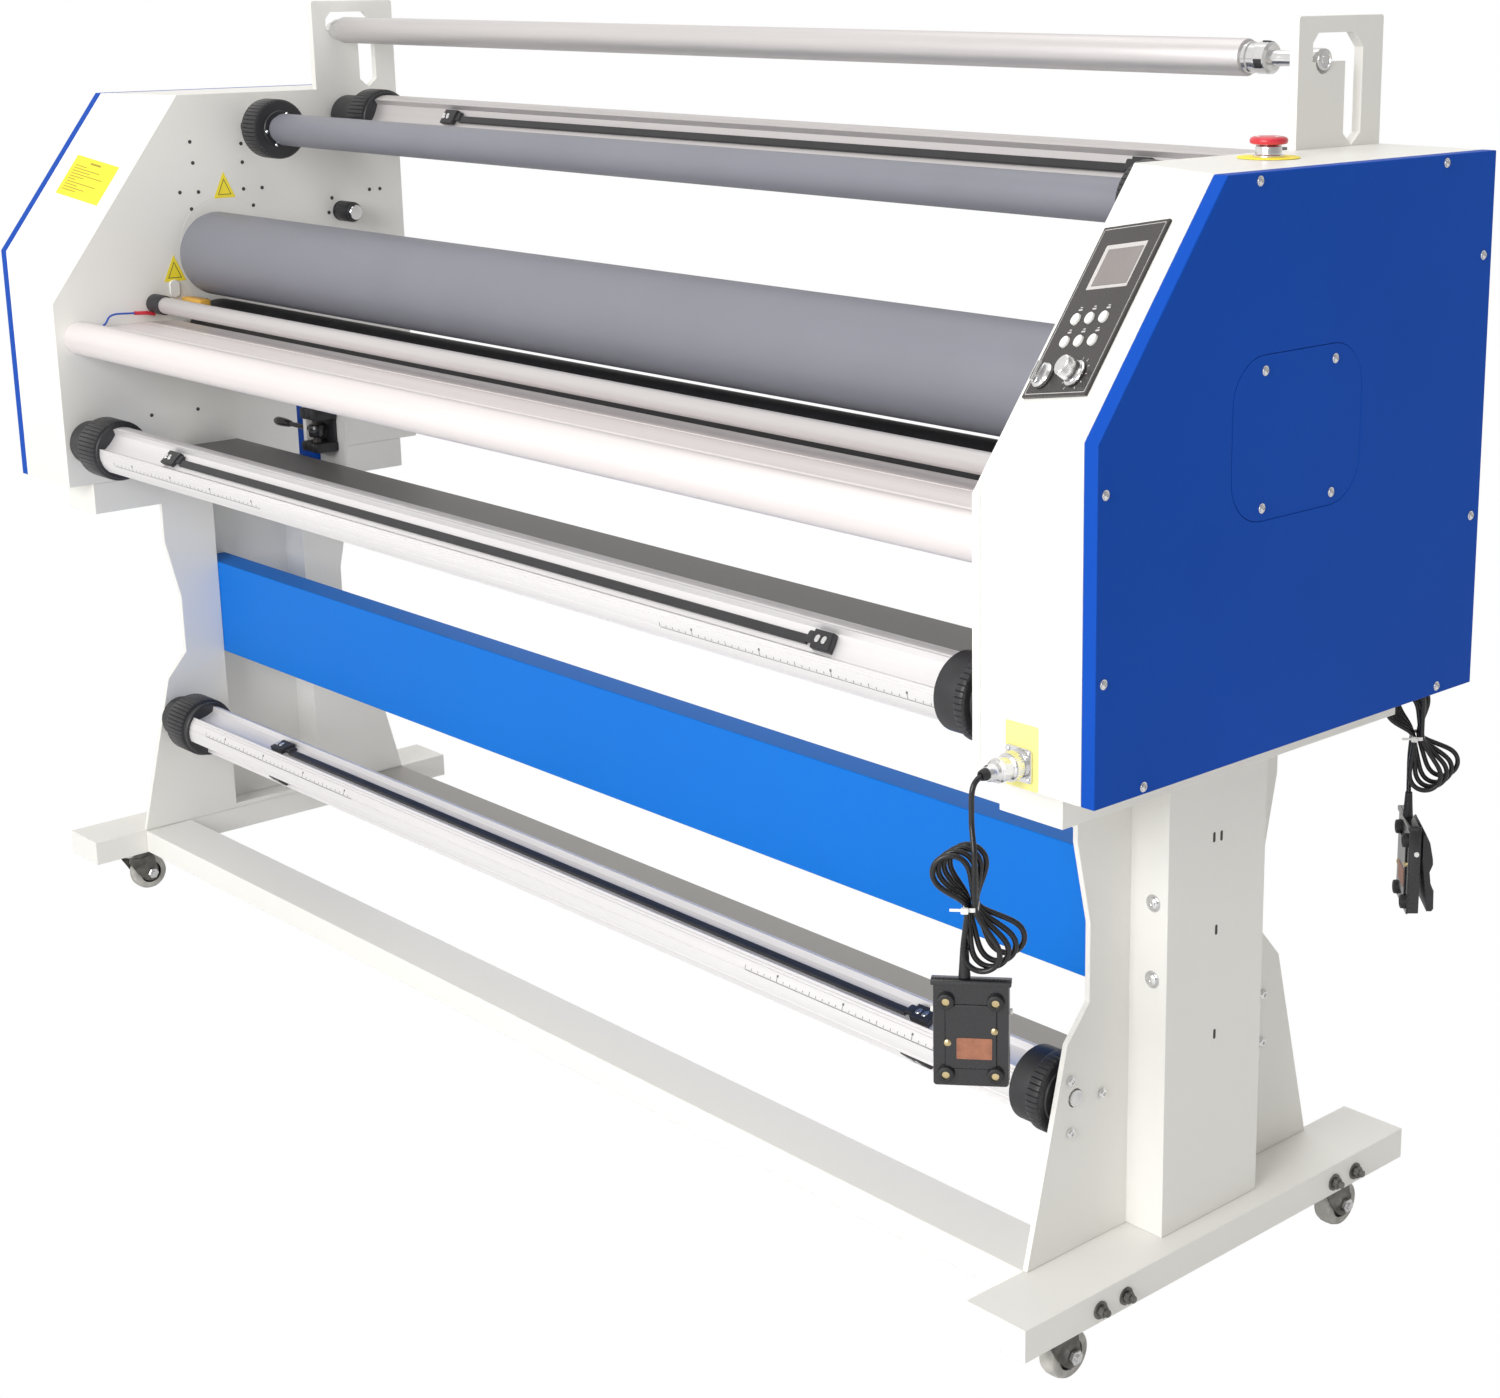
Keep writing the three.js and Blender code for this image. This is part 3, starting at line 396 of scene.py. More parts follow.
# ---------------------------------------------------------------- CAD nodes that are kept
def dress(names, material, bevel, planar=True):
    """A kept CAD node gets a finish and softened edges; its mesh stays as packed."""
    for name in names:
        node = NODES[name]
        node.data.materials.clear()
        node.data.materials.append(material)
        if "custom_normal" in node.data.attributes:
            node.data.attributes.remove(node.data.attributes["custom_normal"])
        for face in node.data.polygons:
            face.use_smooth = True
        weld = node.modifiers.new("weld", "WELD")
        weld.merge_threshold = 0.01 * MM
        if planar:
            plane = node.modifiers.new("planar", "DECIMATE")
            plane.decimate_type = "DISSOLVE"
            plane.angle_limit = radians(1)
        edge = node.modifiers.new("edges", "BEVEL")
        edge.width = bevel * MM
        edge.segments = 2
        edge.limit_method = "ANGLE"
        edge.angle_limit = radians(40)
        edge.harden_normals = True
        normals = node.modifiers.new("normals", "WEIGHTED_NORMAL")
        normals.keep_sharp = True


def both(*names):
    return [f"{name}_{side}" for name in names for side in ("right", "left")]


def dress_frame():
    dress(both("foot", "leg") + ["front_cross_beam"] + both("cabinet_shell"), WHITE, 0.7)
    # Painted shade: the tie beam is white paint, drawn grey for the table's shadow on it.
    dress(["tie_beam"], TIE_PAINTED_SHADE, 0.7)
    # Painted shade: the rear cross beam is white paint, drawn grey for the shade it stands in.
    dress(["rear_cross_beam"], REAR_PAINTED_SHADE, 0.7)
    dress(both("side_plate"), WHITE, 0.4, planar=False)
    dress(both("cabinet_cover"), BLUE, 0.9)
    dress(["service_hatch"], BLUE, 0.35)
    # Painted light: the stretcher beam's blue is a lighter copy of the covers' paint.
    dress(["stretcher_beam"], BEAM_BLUE_LIT, 1.2)
    dress(both("roller_bearing_block") + ["drive_gear_motor"], DARK_STEEL, 0.8)
    dress(["control_panel"], PANEL_BLACK, 0.5)


# ---------------------------------------------------------------- cords
CORD_D = 5.0
ENTRY_Y = -2
HANK = {"turns": 4, "pitch": 5.3, "tie": -54.0, "fold": 16.2}
FAN_BELOW = (12, 22, 31, 43)
FAN_ABOVE = (-30, -22, -14, -6)
FAN_REACH = 42


def smoothed(points, step, rounds):
    """The same line at an even step, its corners eased by averaging neighbours."""
    path = resampled(points, step)
    for _ in range(rounds):
        path = [path[0]] + [(path[i - 1] + path[i] * 2 + path[i + 1]) / 4 for i in range(1, len(path) - 1)] + [path[-1]]
    return path


def resampled(points, step):
    line = [Vector(p) for p in points]
    out = [line[0]]
    left = step
    for a, b in zip(line, line[1:]):
        length = (b - a).length
        at = left
        while at <= length:
            out.append(a.lerp(b, at / length))
            at += step
        left = at - length
    if (out[-1] - line[-1]).length < step * 0.5:
        out.pop()
    return out + [line[-1]]


def touches(centre, radius, point, sense):
    """The angle on the circle that a line from point touches, on the side that sense says."""
    dx, dz = point[0] - centre[0], point[1] - centre[1]
    return degrees(atan2(dz, dx) + sense * acos(radius / hypot(dx, dz)))


def lobe(centre, radius, came, goes, clockwise, y0, y1, steps=18):
    """One fold: round the circle from the line that came to the line that goes, depth y0 to y1."""
    sense = -1 if clockwise else 1
    start = touches(centre, radius, came, sense)
    sweep = sense * ((sense * (touches(centre, radius, goes, -sense) - start)) % 360)
    points = []
    for i in range(steps + 1):
        t = i / steps
        x, z = polar(radius, radians(start + sweep * t))
        points.append((centre[0] + x, y0 + (y1 - y0) * t, centre[1] + z))
    return points


def hank_path(drop):
    """The folded runs from the hank's top to the pedal, in the hank's frame: X across, Z up, mm."""
    turns, pitch, tie, bend = (HANK[k] for k in ("turns", "pitch", "tie", "fold"))
    planes = [(i - turns / 2) * pitch for i in range(turns + 1)]
    near, far, half = -2.9, 2.9, 3
    points = [(far, planes[0], -4), (far, planes[0], tie + half)]
    came = far
    for i in range(turns):
        y0, y1 = planes[i], planes[i + 1]
        last = i == turns - 1
        up = far if last else near
        down = near if last else far
        lean = radians(FAN_BELOW[i])
        centre = (FAN_REACH * sin(lean), tie - FAN_REACH * cos(lean))
        points += [(came, y0, tie - half)]
        points += lobe(centre, bend, (came, tie - half), (up, tie - half), True, y0, y1)
        points += [(up, y1, tie - half), (up, y1, tie + half)]
        lean = radians(FAN_ABOVE[i])
        centre = (34 * sin(lean), tie + 34 * cos(lean))
        points += lobe(centre, bend, (up, tie + half), (down, tie + half), not last, y1, y1)
        points += [(down, y1, tie + half)]
        came = down
    points += [(near, planes[-1], tie - half), (-5, planes[-1] - 2, tie - 24), (-6, ENTRY_Y, -drop + 14),
               (-6, ENTRY_Y, -drop - 6)]
    return points


SWITCHES = {
    "front": {"x": 907, "face": -270, "side": -1, "hank_yaw": 42, "pedal_yaw": 40, "pedal_top": 442},
    "rear": {"x": 893, "face": 264, "side": 1, "hank_yaw": 45, "pedal_yaw": -45, "pedal_top": 420},
}
CONNECTOR = {"z": 616, "reach": 42}
HANK_TOP = 560


def turned_frame(x, y, z, yaw):
    """A place in metres, turned about Z; x, y and z are in millimetres."""
    return shift(x, y, z) @ Matrix.Rotation(radians(yaw), 4, "Z")


def hang_line(spec):
    """The y that a foot switch's cord hangs at."""
    return spec["face"] + spec["side"] * (CONNECTOR["reach"] + 0.6) + spec["side"] * 15


def cord_points(spec):
    """The whole cord of one foot switch, in millimetres: out of its plug, down, folded, to its pedal."""
    x, side, z0, hang_y = spec["x"], spec["side"], CONNECTOR["z"], hang_line(spec)
    y0 = spec["face"] + side * (CONNECTOR["reach"] + 0.6)
    start = [(x, y0, z0), (x, y0 + side * 5, z0), (x, y0 + side * 9.5, z0 - 1.5), (x, y0 + side * 13.5, z0 - 5.5),
             (x, hang_y, z0 - 11), (x, hang_y, 595), (x, hang_y, 575)]
    place = turned_frame(x, hang_y, HANK_TOP, spec["hank_yaw"])
    return smoothed(start + [place @ (Vector(p) * MM) / MM for p in hank_path(HANK_TOP - spec["pedal_top"])], 2.0, 16)


def add_cord(end, with_pieces):
    path = cord_points(SWITCHES[end])
    curve = bpy.data.curves.new(f"{end}_cord_line", "CURVE")
    curve.dimensions = "3D"
    curve.bevel_depth = CORD_D / 2 * MM
    curve.bevel_resolution = 4
    curve.use_fill_caps = True
    line = curve.splines.new("POLY")
    line.points.add(len(path) - 1)
    for point, place in zip(line.points, path):
        point.co = (*(place * MM), 1)
    line.use_smooth = True
    curve.materials.append(CORD_JACKET)
    cord = add_object(f"{end}_switch_cord", curve)
    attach(cord, "frame")
    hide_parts(f"{end}_foot_switch_cord", f"{end}_foot_switch_cord_hank")


def add_connector(end):
    """The aviation plug: square flange with four screws, knurled ring, stepped body and a sleeve."""
    spec = SWITCHES[end]
    place = facing(spec["x"], spec["face"], CONNECTOR["z"], Y * spec["side"], X)
    shape = Shape().prism(rounded(30, 30, 3), 0.3, 3, place, 0.5)
    shape.turn([(0, 3), (12.6, 3), (12.6, 5), (11.2, 5.6), (11.2, 8)], place)
    knurl = [[polar(12.4 + 0.5 * (k % 2), 2 * pi * k / 72, h) for k in range(72)] for h in (7.5, 15)]
    shape.loft(knurl, place)
    shape.turn([(11.6, 14.8), (11.6, 16), (10, 17), (10, 22), (10.8, 22.6), (10.8, 28), (9.4, 29), (9.4, 31),
                (7.6, 33), (7.2, 38), (6.2, 40.5), (3.4, 41)], place)
    for sx, sy in product((-11.5, 11.5), repeat=2):
        shape.turn([(0, 2.9), (2.1, 2.9), (2.1, 3.8), (1.4, 4.3), (0, 4.3)], place @ shift(sx, sy), 16)
    plug = shape.piece(f"{end}_switch_plug", STEEL, smooth_angle=30, replaces=f"{end}_foot_switch_connector")
    sleeve = Shape().ring([(2.7, 38.5), (5.6, 38.5), (5.0, 44), (4.4, 46.5), (2.7, 46.5)], place)
    return [plug, sleeve.piece(f"{end}_switch_sleeve", RUBBER)]


def add_cable_tie(end):
    spec = SWITCHES[end]
    hang_y = hang_line(spec)
    place = turned_frame(spec["x"], hang_y, HANK_TOP + HANK["tie"], spec["hank_yaw"])
    depth = HANK["turns"] * HANK["pitch"] / 2 + CORD_D / 2
    outline = rounded(11.4 + 1.6, depth * 2 + 1.6, 5.8)
    inner = rounded(11.4 + 0.3, depth * 2 + 0.3, 5.2)
    rings = [[(x, y, -1.8), (x, y, 1.8), (u, v, 1.8), (u, v, -1.8)] for (x, y), (u, v) in zip(inner, outline)]
    shape = Shape().loft(rings, place, closed=True)
    shape.block((6.5, 4.5, 5), place @ shift(-5, -depth - 2, 0), 0.8)
    shape.block((11, 1.2, 2.4), place @ shift(-12, -depth - 2, 0.6), 0.3)
    return shape.piece(f"{end}_switch_tie", NYLON)


PEDAL = {"width": 64, "height": 96, "pan": 13, "pivot": 30, "back": -9}


def add_pedal(end):
    """The pedal hangs with its underside outwards: pan, feet, raised panel, plate, treadle and pins."""
    spec = SWITCHES[end]
    hang_y = hang_line(spec)
    w, h, deep, pivot = (PEDAL[k] for k in ("width", "height", "pan", "pivot"))
    top = turned_frame(spec["x"], hang_y, spec["pedal_top"], spec["pedal_yaw"])
    place = top @ shift(0, PEDAL["back"], 0)
    face = place @ shift(0, 0, -h / 2) @ Matrix.Rotation(radians(90), 4, "X")
    pan = Shape().prism(rounded(w, h, 3), -2.2, 0, face, 0.8)
    pan.prism(rounded(44, 58, 3), -0.5, 1.6, face @ shift(0, -3, 0), 1.2)
    pan.block((w + 4, 5, 11), face @ shift(0, h / 2 - 2.5, -4), 0.8)
    for s in (-1, 1):
        pan.block((2.2, h - 4, deep - 1), face @ shift(s * (w / 2 - 1.1), 0, -deep / 2), 0.6)
    pan.block((w - 4, 2.2, deep - 1), face @ shift(0, -h / 2 + 2, -deep / 2), 0.6)
    feet, screws = Shape(), Shape()
    for sx, sy in product((-21, 21), (-h / 2 + 11, h / 2 - 19)):
        spot = face @ shift(sx, sy, 0)
        feet.ring([(3, 0), (7.6, 0), (7, 4.4), (6, 5), (3.6, 5), (3, 2.5)], spot, 32)
        screws.turn([(0, 0.2), (4.2, 0.2), (4.2, 2.6), (3.2, 3.6), (0, 3.8)], spot, 24)
    for sx, sy in ((20, 3), (-19.5, -8.5)):
        screws.turn([(0, 0), (3.2, 0), (3, 1.8), (1.8, 2.6), (0, 2.8)], face @ shift(sx, sy, 0), 20)
    plate = Shape().prism(rounded(30, 19, 1), 1.5, 2.0, face @ shift(3, -13, 0))
    pins = Shape()
    for s in (-1, 1):
        pins.turn([(0, -1.2), (2.6, -1.2), (2.6, 0.6), (1.8, 1.2), (0, 1.2)],
                  place @ along_x(s * (w / 2 + 1.6), deep - 5, -pivot, s), 20)
    side = [(deep + 1.2, -11), (deep + 4, -8.5), (deep + 9, -19), (deep + 12.4, -pivot - 6), (deep + 12.8, -pivot - 12),
            (deep + 9.6, -pivot - 20), (deep + 11, -h + 34), (deep + 14.6, -h + 24), (deep + 15, -h + 6),
            (deep + 13, -h + 3.4), (deep + 8, -h + 3.4), (deep + 1.6, -pivot - 8)]
    half, cy, cz = w / 2 - 1, deep + 7, -h / 2
    rows = [(-half, 0.93), (-half + 1.2, 1), (half - 1.2, 1), (half, 0.93)]
    cover = Shape().loft([[(x, cy + (y - cy) * k, cz + (z - cz) * (1 - (1 - k) * 0.3)) for y, z in side]
                          for x, k in rows], place)
    for i in range(7):
        cover.block((w - 12, 1.0, 1.2), place @ shift(0, deep + 15, -h + 8 + i * 2.6), 0.3)
    cover.block((w - 12, 10, 8), place @ shift(0, deep - 2, -pivot), 1)
    at = turned_frame(spec["x"], hang_y, spec["pedal_top"], spec["hank_yaw"]) @ shift(-6, ENTRY_Y, 0)
    boot = Shape().ring([(2.7, 26), (3.6, 26), (4.4, 12), (5.2, 0.5), (2.7, 0.5)], at)
    switch = f"{end}_foot_switch"
    return [pan.piece(f"{end}_pedal_pan", GLOSS_BLACK, replaces=f"{switch}_pan"),
            feet.piece(f"{end}_pedal_feet", RUBBER), screws.piece(f"{end}_pedal_screws", BRASS),
            plate.piece(f"{end}_pedal_plate", COPPER), pins.piece(f"{end}_pedal_pins", NYLON),
            cover.piece(f"{end}_pedal_treadle", PLASTIC, f"{switch}_treadle", replaces=f"{switch}_treadle"),
            boot.piece(f"{end}_pedal_boot", RUBBER)]


def add_foot_switches():
    for end in SWITCHES:
        add_cord(end, add_connector(end) + [add_cable_tie(end)] + add_pedal(end))


# ---------------------------------------------------------------- rollers and shafts
INNER = 850


def on_axis(body, x=0, sense=1):
    """A place on a roller's or shaft's axis, x millimetres along the machine."""
    axis = PIVOT[body] / MM
    return along_x(x, axis.y, axis.z, sense)


def radial(body, x, angle, radius):
    """A place on a shaft's skin: X along the shaft, Z outwards at an angle from +Y towards +Z."""
    axis = PIVOT[body] / MM
    out = Vector((0, *polar(1, radians(angle))))
    return basis((Vector((x, axis.y, axis.z)) + out * radius) * MM, out, X)


FLUTE = {"half": 29, "floor": 20.5}


def clamp_profile(radius, centre, grooves):
    """The extrusion's outline: round, with three flat-floored flutes and fine scored lines."""
    outline = []
    for k in range(720):
        angle = k / 2
        r = radius
        for turn in (0, 120, 240):
            off = abs((angle - centre - turn + 180) % 360 - 180)
            if off < FLUTE["half"]:
                r = FLUTE["floor"] / cos(radians(off)) * (1 + 0.06 * (off / FLUTE["half"]) ** 2)
        for at, half, depth in grooves:
            off = abs((angle - at + 180) % 360 - 180)
            r -= depth * max(0, 1 - off / half)
        outline.append(polar(r, radians(angle)))
    return outline


def ribbed(shape, place, radius, z0, z1, ribs=36, depth=1.6):
    """A moulded grip ring: broad ribs with narrow valleys and rounded ends."""
    def ring(z, shrink):
        points = []
        for k in range(ribs * 8):
            wave = abs(cos(pi * k / 8))
            r = radius - shrink - depth * max(0, 1 - 2.6 * wave)
            points.append(polar(r, 2 * pi * k / (ribs * 8), z))
        return points
    shape.loft([ring(z0, 3), ring(z0 + 1, 1), ring(z0 + 3, 0), ring(z1 - 3, 0), ring(z1 - 1, 1), ring(z1, 3)], place)


def clamp_hub(shape, body, sign, start, face, skirt, core=29):
    """The end hub of a media shaft: a plain core by the side plate, a ribbed drum with a flat face,
    and a short skirt round the extrusion."""
    place = on_axis(body, sign * (INNER - 4), -sign)
    shape.turn([(0, -3), (14, -3), (14, 0), (core - 1, 0.5), (core, 2), (core, start + 2), (0, start + 2)], place, 56)
    ribbed(shape, place, HUB_R, start, face, 44, 0.9)
    if skirt > face + 1:
        shape.turn([(0, face - 2), (35.6, face - 2), (36.4, face), (36.4, skirt - 1.2), (35.4, skirt), (0, skirt)],
                   place, 72)


HUB_R = 39.4


def strap(shape, body, floor, angle, x0, x1):
    """A flat rubber strap lying on a flute's floor, its long edges eased."""
    a = radians(angle)
    outline = []
    for across, out in ((-3.2, -0.4), (6.2, -0.4), (6.2, 2.6), (5.2, 3.8), (-2.2, 3.8), (-3.2, 2.6)):
        r = floor + out
        outline.append((r * cos(a) - across * sin(a), r * sin(a) + across * cos(a)))
    shape.prism(outline, 0, x1 - x0, on_axis(body, x0))


def buckle(black, bright, body, radius, angle, x, sign):
    """The clamp at a strip's end: a skewed block with two steel rivets and a neck over the strap."""
    place = radial(body, x, angle, radius)
    skew = 2.5 * sign
    outline = [(-13 + skew, -9.5), (13 + skew, -9.5), (13 - skew, 9.5), (-13 - skew, 9.5)]
    black.prism(outline, -2.5, 5.2, place, 1.4)
    black.block((13, 12, 5.0), place @ shift(-sign * 17, 1.5, 0.4), 1.4)
    for dx in (-7.5, 1.5):
        bright.prism(rounded(5.8, 8, 2.8), 5.0, 5.9, place @ shift(sign * 2 + dx, 0), 0.4)


def ruler(shape, body, radius, angle, x0, x1):
    """Tick marks every 10 mm, longer every 50 mm, with a thin base line, printed on a flat."""
    base = radial(body, (x0 + x1) / 2, angle + 7, radius)
    shape.block((x1 - x0, 0.5, 0.12), base, 0.02)
    for k in range(int((x1 - x0) / 10) + 1):
        tall = 4.4 if k % 5 == 0 else 2.4
        spot = radial(body, x0 + 10 * k, angle + 4 - tall / 2, radius)
        shape.block((0.7, tall, 0.12), spot, 0.02)
        if k % 10 == 5:
            shape.block((2.6, 2.6, 0.12), radial(body, x0 + 10 * k, angle - 5, radius), 0.02)


CLAMP_SHAFTS = {
    "front_take_up_shaft": {"flute": 138, "left": (42, 90, 93), "right": (2, 14, 40), "buckles": (-582, 645)},
    "lower_media_shaft": {"flute": 108, "left": (32, 76, 86), "right": (2, 18, 41), "buckles": (-551, 662)},
    "rear_media_shaft": {"flute": 154, "left": (60, 98, 101), "right": (2, 18, 40), "buckles": (-556, 655)},
}
BARREL_R = 32
RULERS = ((-715, -347), (419, 805))


def add_clamp_shaft(body, spec):
    angle, floor = spec["flute"], FLUTE["floor"]
    x0, x1 = -INNER + 4 + spec["left"][2], INNER - 4 - spec["right"][2]
    grooves = [(angle + turn + off, 1.6, 0.7) for turn in (0, 120, 240) for off in (34, 40, -34, 60)]
    barrel = Shape().prism(clamp_profile(BARREL_R, angle, grooves), x0 - 2, x1 + 2, on_axis(body))
    barrel.piece(f"{body}_barrel", TUBE_ALU if body == "rear_media_shaft" else ALUMINIUM, body, 25, replaces=body)
    black, bright = Shape(), Shape()
    clamp_hub(black, body, -1, *spec["left"])
    clamp_hub(black, body, 1, *spec["right"])
    first, second = spec["buckles"]
    for turn in (0, 120, 240):
        strap(black, body, floor, angle + turn, first + 22, second - 22)
        for x, sign in ((first, -1), (second, 1)):
            buckle(black, bright, body, floor + 2.6, angle + turn, x, sign)
    black.piece(f"{body}_hubs_and_straps", PLASTIC, body, 30)
    bright.piece(f"{body}_rivets", STEEL, body)
    journals, marks = Shape(), Shape()
    for sign in (-1, 1):
        journals.rod(8, 0, 9, on_axis(body, sign * (INNER - 1), sign), 32)
    journals.piece(f"{body}_journals", TURNED, body)
    if body != "rear_media_shaft":
        for a, b in RULERS:
            ruler(marks, body, BARREL_R + 0.05, angle + 53, a, b)
        marks.piece(f"{body}_rulers", PRINT, body)


def add_supply_shaft():
    body, face = "film_supply_shaft", 78
    end = INNER - 4 - face
    half = [(20, end - 9.5), (18, end - 8), (18, end), (0, end)]
    tube = Shape().turn([(r, -x) for r, x in half[::-1]] + [(21, -end + 12), (21, end - 12)] + half, on_axis(body), 80)
    tube.piece(f"{body}_sleeve", SILICONE, body, replaces=body)
    hubs, pins = Shape(), Shape()
    for sign in (-1, 1):
        clamp_hub(hubs, body, sign, 42, face, face, 16)
        spot = on_axis(body, sign * end, -sign)
        hubs.turn([(0, -1), (25, -1), (25, 1.4), (24, 2.4), (0, 2.4)], spot, 56)
        for turn in (186, 246, 66):
            a = radians(turn if sign < 0 else 180 - turn)
            pin = spot @ shift(*polar(22, a, 2.2))
            pins.turn([(0, 0), (2.4, 0), (2.2, 1.4), (1.2, 2.4), (0, 2.6)], pin, 20)
    hubs.piece(f"{body}_hubs", PLASTIC, body, 30)
    pins.piece(f"{body}_pins", STEEL, body)


def add_pressure_rollers():
    for body, radius, half, material, end in (("upper_roller", 55.6, 828, SILICONE, INNER + 30),
                                              ("lower_roller", 50, 836, RUBBER, INNER + 9)):
        skin = [(radius, half - 3), (radius - 0.9, half - 0.9), (radius - 3, half), (38, half)]
        core = [(37, half - 1), (36, half + 3), (14, half + 3), (14, end), (0, end)]
        for part, side, sides, finish, node in (("cover", skin, 128, material, body), ("core", core, 64, TURNED, None)):
            turned = Shape().turn([(r, -x) for r, x in side[::-1]] + side, on_axis(body), sides)
            turned.piece(f"{body}_{part}", finish, body, replaces=node)


def sprocket(shape, place, teeth, pitch_r, thick):
    """A roller-chain sprocket with its hub."""
    points = []
    for k in range(teeth * 6):
        r = pitch_r + (1.6, 1.9, 0.2, -2.2, -2.2, 0.2)[k % 6]
        points.append(polar(r, 2 * pi * k / (teeth * 6)))
    shape.prism(points, 0, thick, place, 0.4)


def add_drive():
    for name, body, teeth, pitch_r, hub, node in (
            ("roller_sprocket", "lower_roller", 19, 28, 20, None),
            ("motor_sprocket_wheel", "motor_sprocket", 13, 18.6, 12, "motor_sprocket")):
        wheel, place = Shape(), on_axis(body, 866)
        sprocket(wheel, place, teeth, pitch_r, 5)
        wheel.rod(hub, -3, 0.2, place, 32)
        if node:
            wheel.rod(7, 4.8, 29, place, 32)
        wheel.piece(name, DARK_STEEL, body, 25, replaces=node)


def add_idler_and_tube():
    rod = Shape().rod(11, -INNER + 20, INNER - 20, on_axis("feed_idler"), 64)
    rod.piece("feed_idler_rod", TUBE_ALU, "feed_idler", replaces="feed_idler")
    sleeves, pins = Shape(), Shape()
    for sign in (-1, 1):
        spot = on_axis("feed_idler", sign * (INNER - 2), -sign)
        sleeves.turn([(0, 0), (12, 0), (13, 1), (13, 29), (12, 31), (0, 31)], spot, 48)
        pins.rod(4.4, -9, 1, spot, 24)
    sleeves.piece("feed_idler_sleeves", PLASTIC, "feed_idler")
    pins.piece("feed_idler_pins", TURNED, "feed_idler")
    place = on_axis("top_tube")
    tube = Shape().turn([(15, -826), (17, -826), (17.5, -825), (17.5, 771), (17, 772), (15, 772)], place, 80)
    tube.piece("top_tube_sleeve", TUBE_ALU, "top_tube", replaces="top_tube")
    ends = Shape().turn([(0, -862), (8, -862), (10, -861), (10.4, -858), (10.4, -850), (9, -849), (9, -847),
                         (12.5, -846), (14.6, -844), (14.8, -824), (0, -824)], place)
    ends.turn([(0, 770), (14.8, 770), (14.8, 778), (13.4, 779), (13.4, 786), (14.8, 787), (14.8, 800), (12, 802),
               (7.4, 802), (7.4, 812), (7, 813), (7, 842), (9.4, 843), (10.4, 845), (10.4, 860), (9.8, 862), (8, 862.4),
               (7.4, 861.2), (4, 861.2), (3.4, 862), (0, 862)], place, 64)
    ends.piece("top_tube_ends", STEEL, "top_tube", 28)
    slots = Shape()
    for k in range(3):
        spot = place @ Matrix.Rotation(radians(120 * k + 200), 4, "Z")
        slots.block((3.2, 9, 9), spot @ shift(14, 0, 794), 0.8)
    slots.piece("top_tube_jaws", PLASTIC, "top_tube")


# ---------------------------------------------------------------- feed table
def add_table():
    """The extruded feed table: a round nose, a shallow channel behind it and a thin rear edge."""
    front, groove, back, top, nose_top, nose_bottom = -259, -202, -104, 802, 812, 769
    r = (nose_top - nose_bottom) / 2
    outline = [(back, top - 6), (back, top - 0.6), (back - 0.6, top), (-140, top), (-141, top - 1.2),
               (-142.2, top - 1.2), (-143, top)]
    outline += [(groove + y, top + z) for y, z in ((9, 0), (7.4, -0.9), (6, -0.6), (4, -0.2), (1.4, -3.4), (-1.4, -3.4),
                                                   (-3, 0.6), (-6, 2.4), (-12, 4.6), (-20, 7))]
    for i in range(33):
        y, z = polar(r, radians(78 + i * (192 / 32)))
        outline.append((front + r + y, nose_top - r + z))
    outline += [(groove - 14, nose_bottom), (groove - 14, nose_bottom + 4), (groove - 5, top - 12),
                (groove + 4, top - 6)]
    place = along_x(-INNER + 0.3, 0, 0)
    table = Shape().prism(outline, 0, INNER * 2 - 0.6, place)
    table.piece("feed_table_extrusion", TABLE_ALU, smooth_angle=24, replaces="feed_table")
    # A dark strip on the groove's floor: painted shade in the groove.
    Shape().block((1698, 1.4, 0.5), facing(0, groove, top - 3.1, Z, X), 0.1).piece("feed_table_groove_shade", HOLE_SHADE_AND_PRINT)


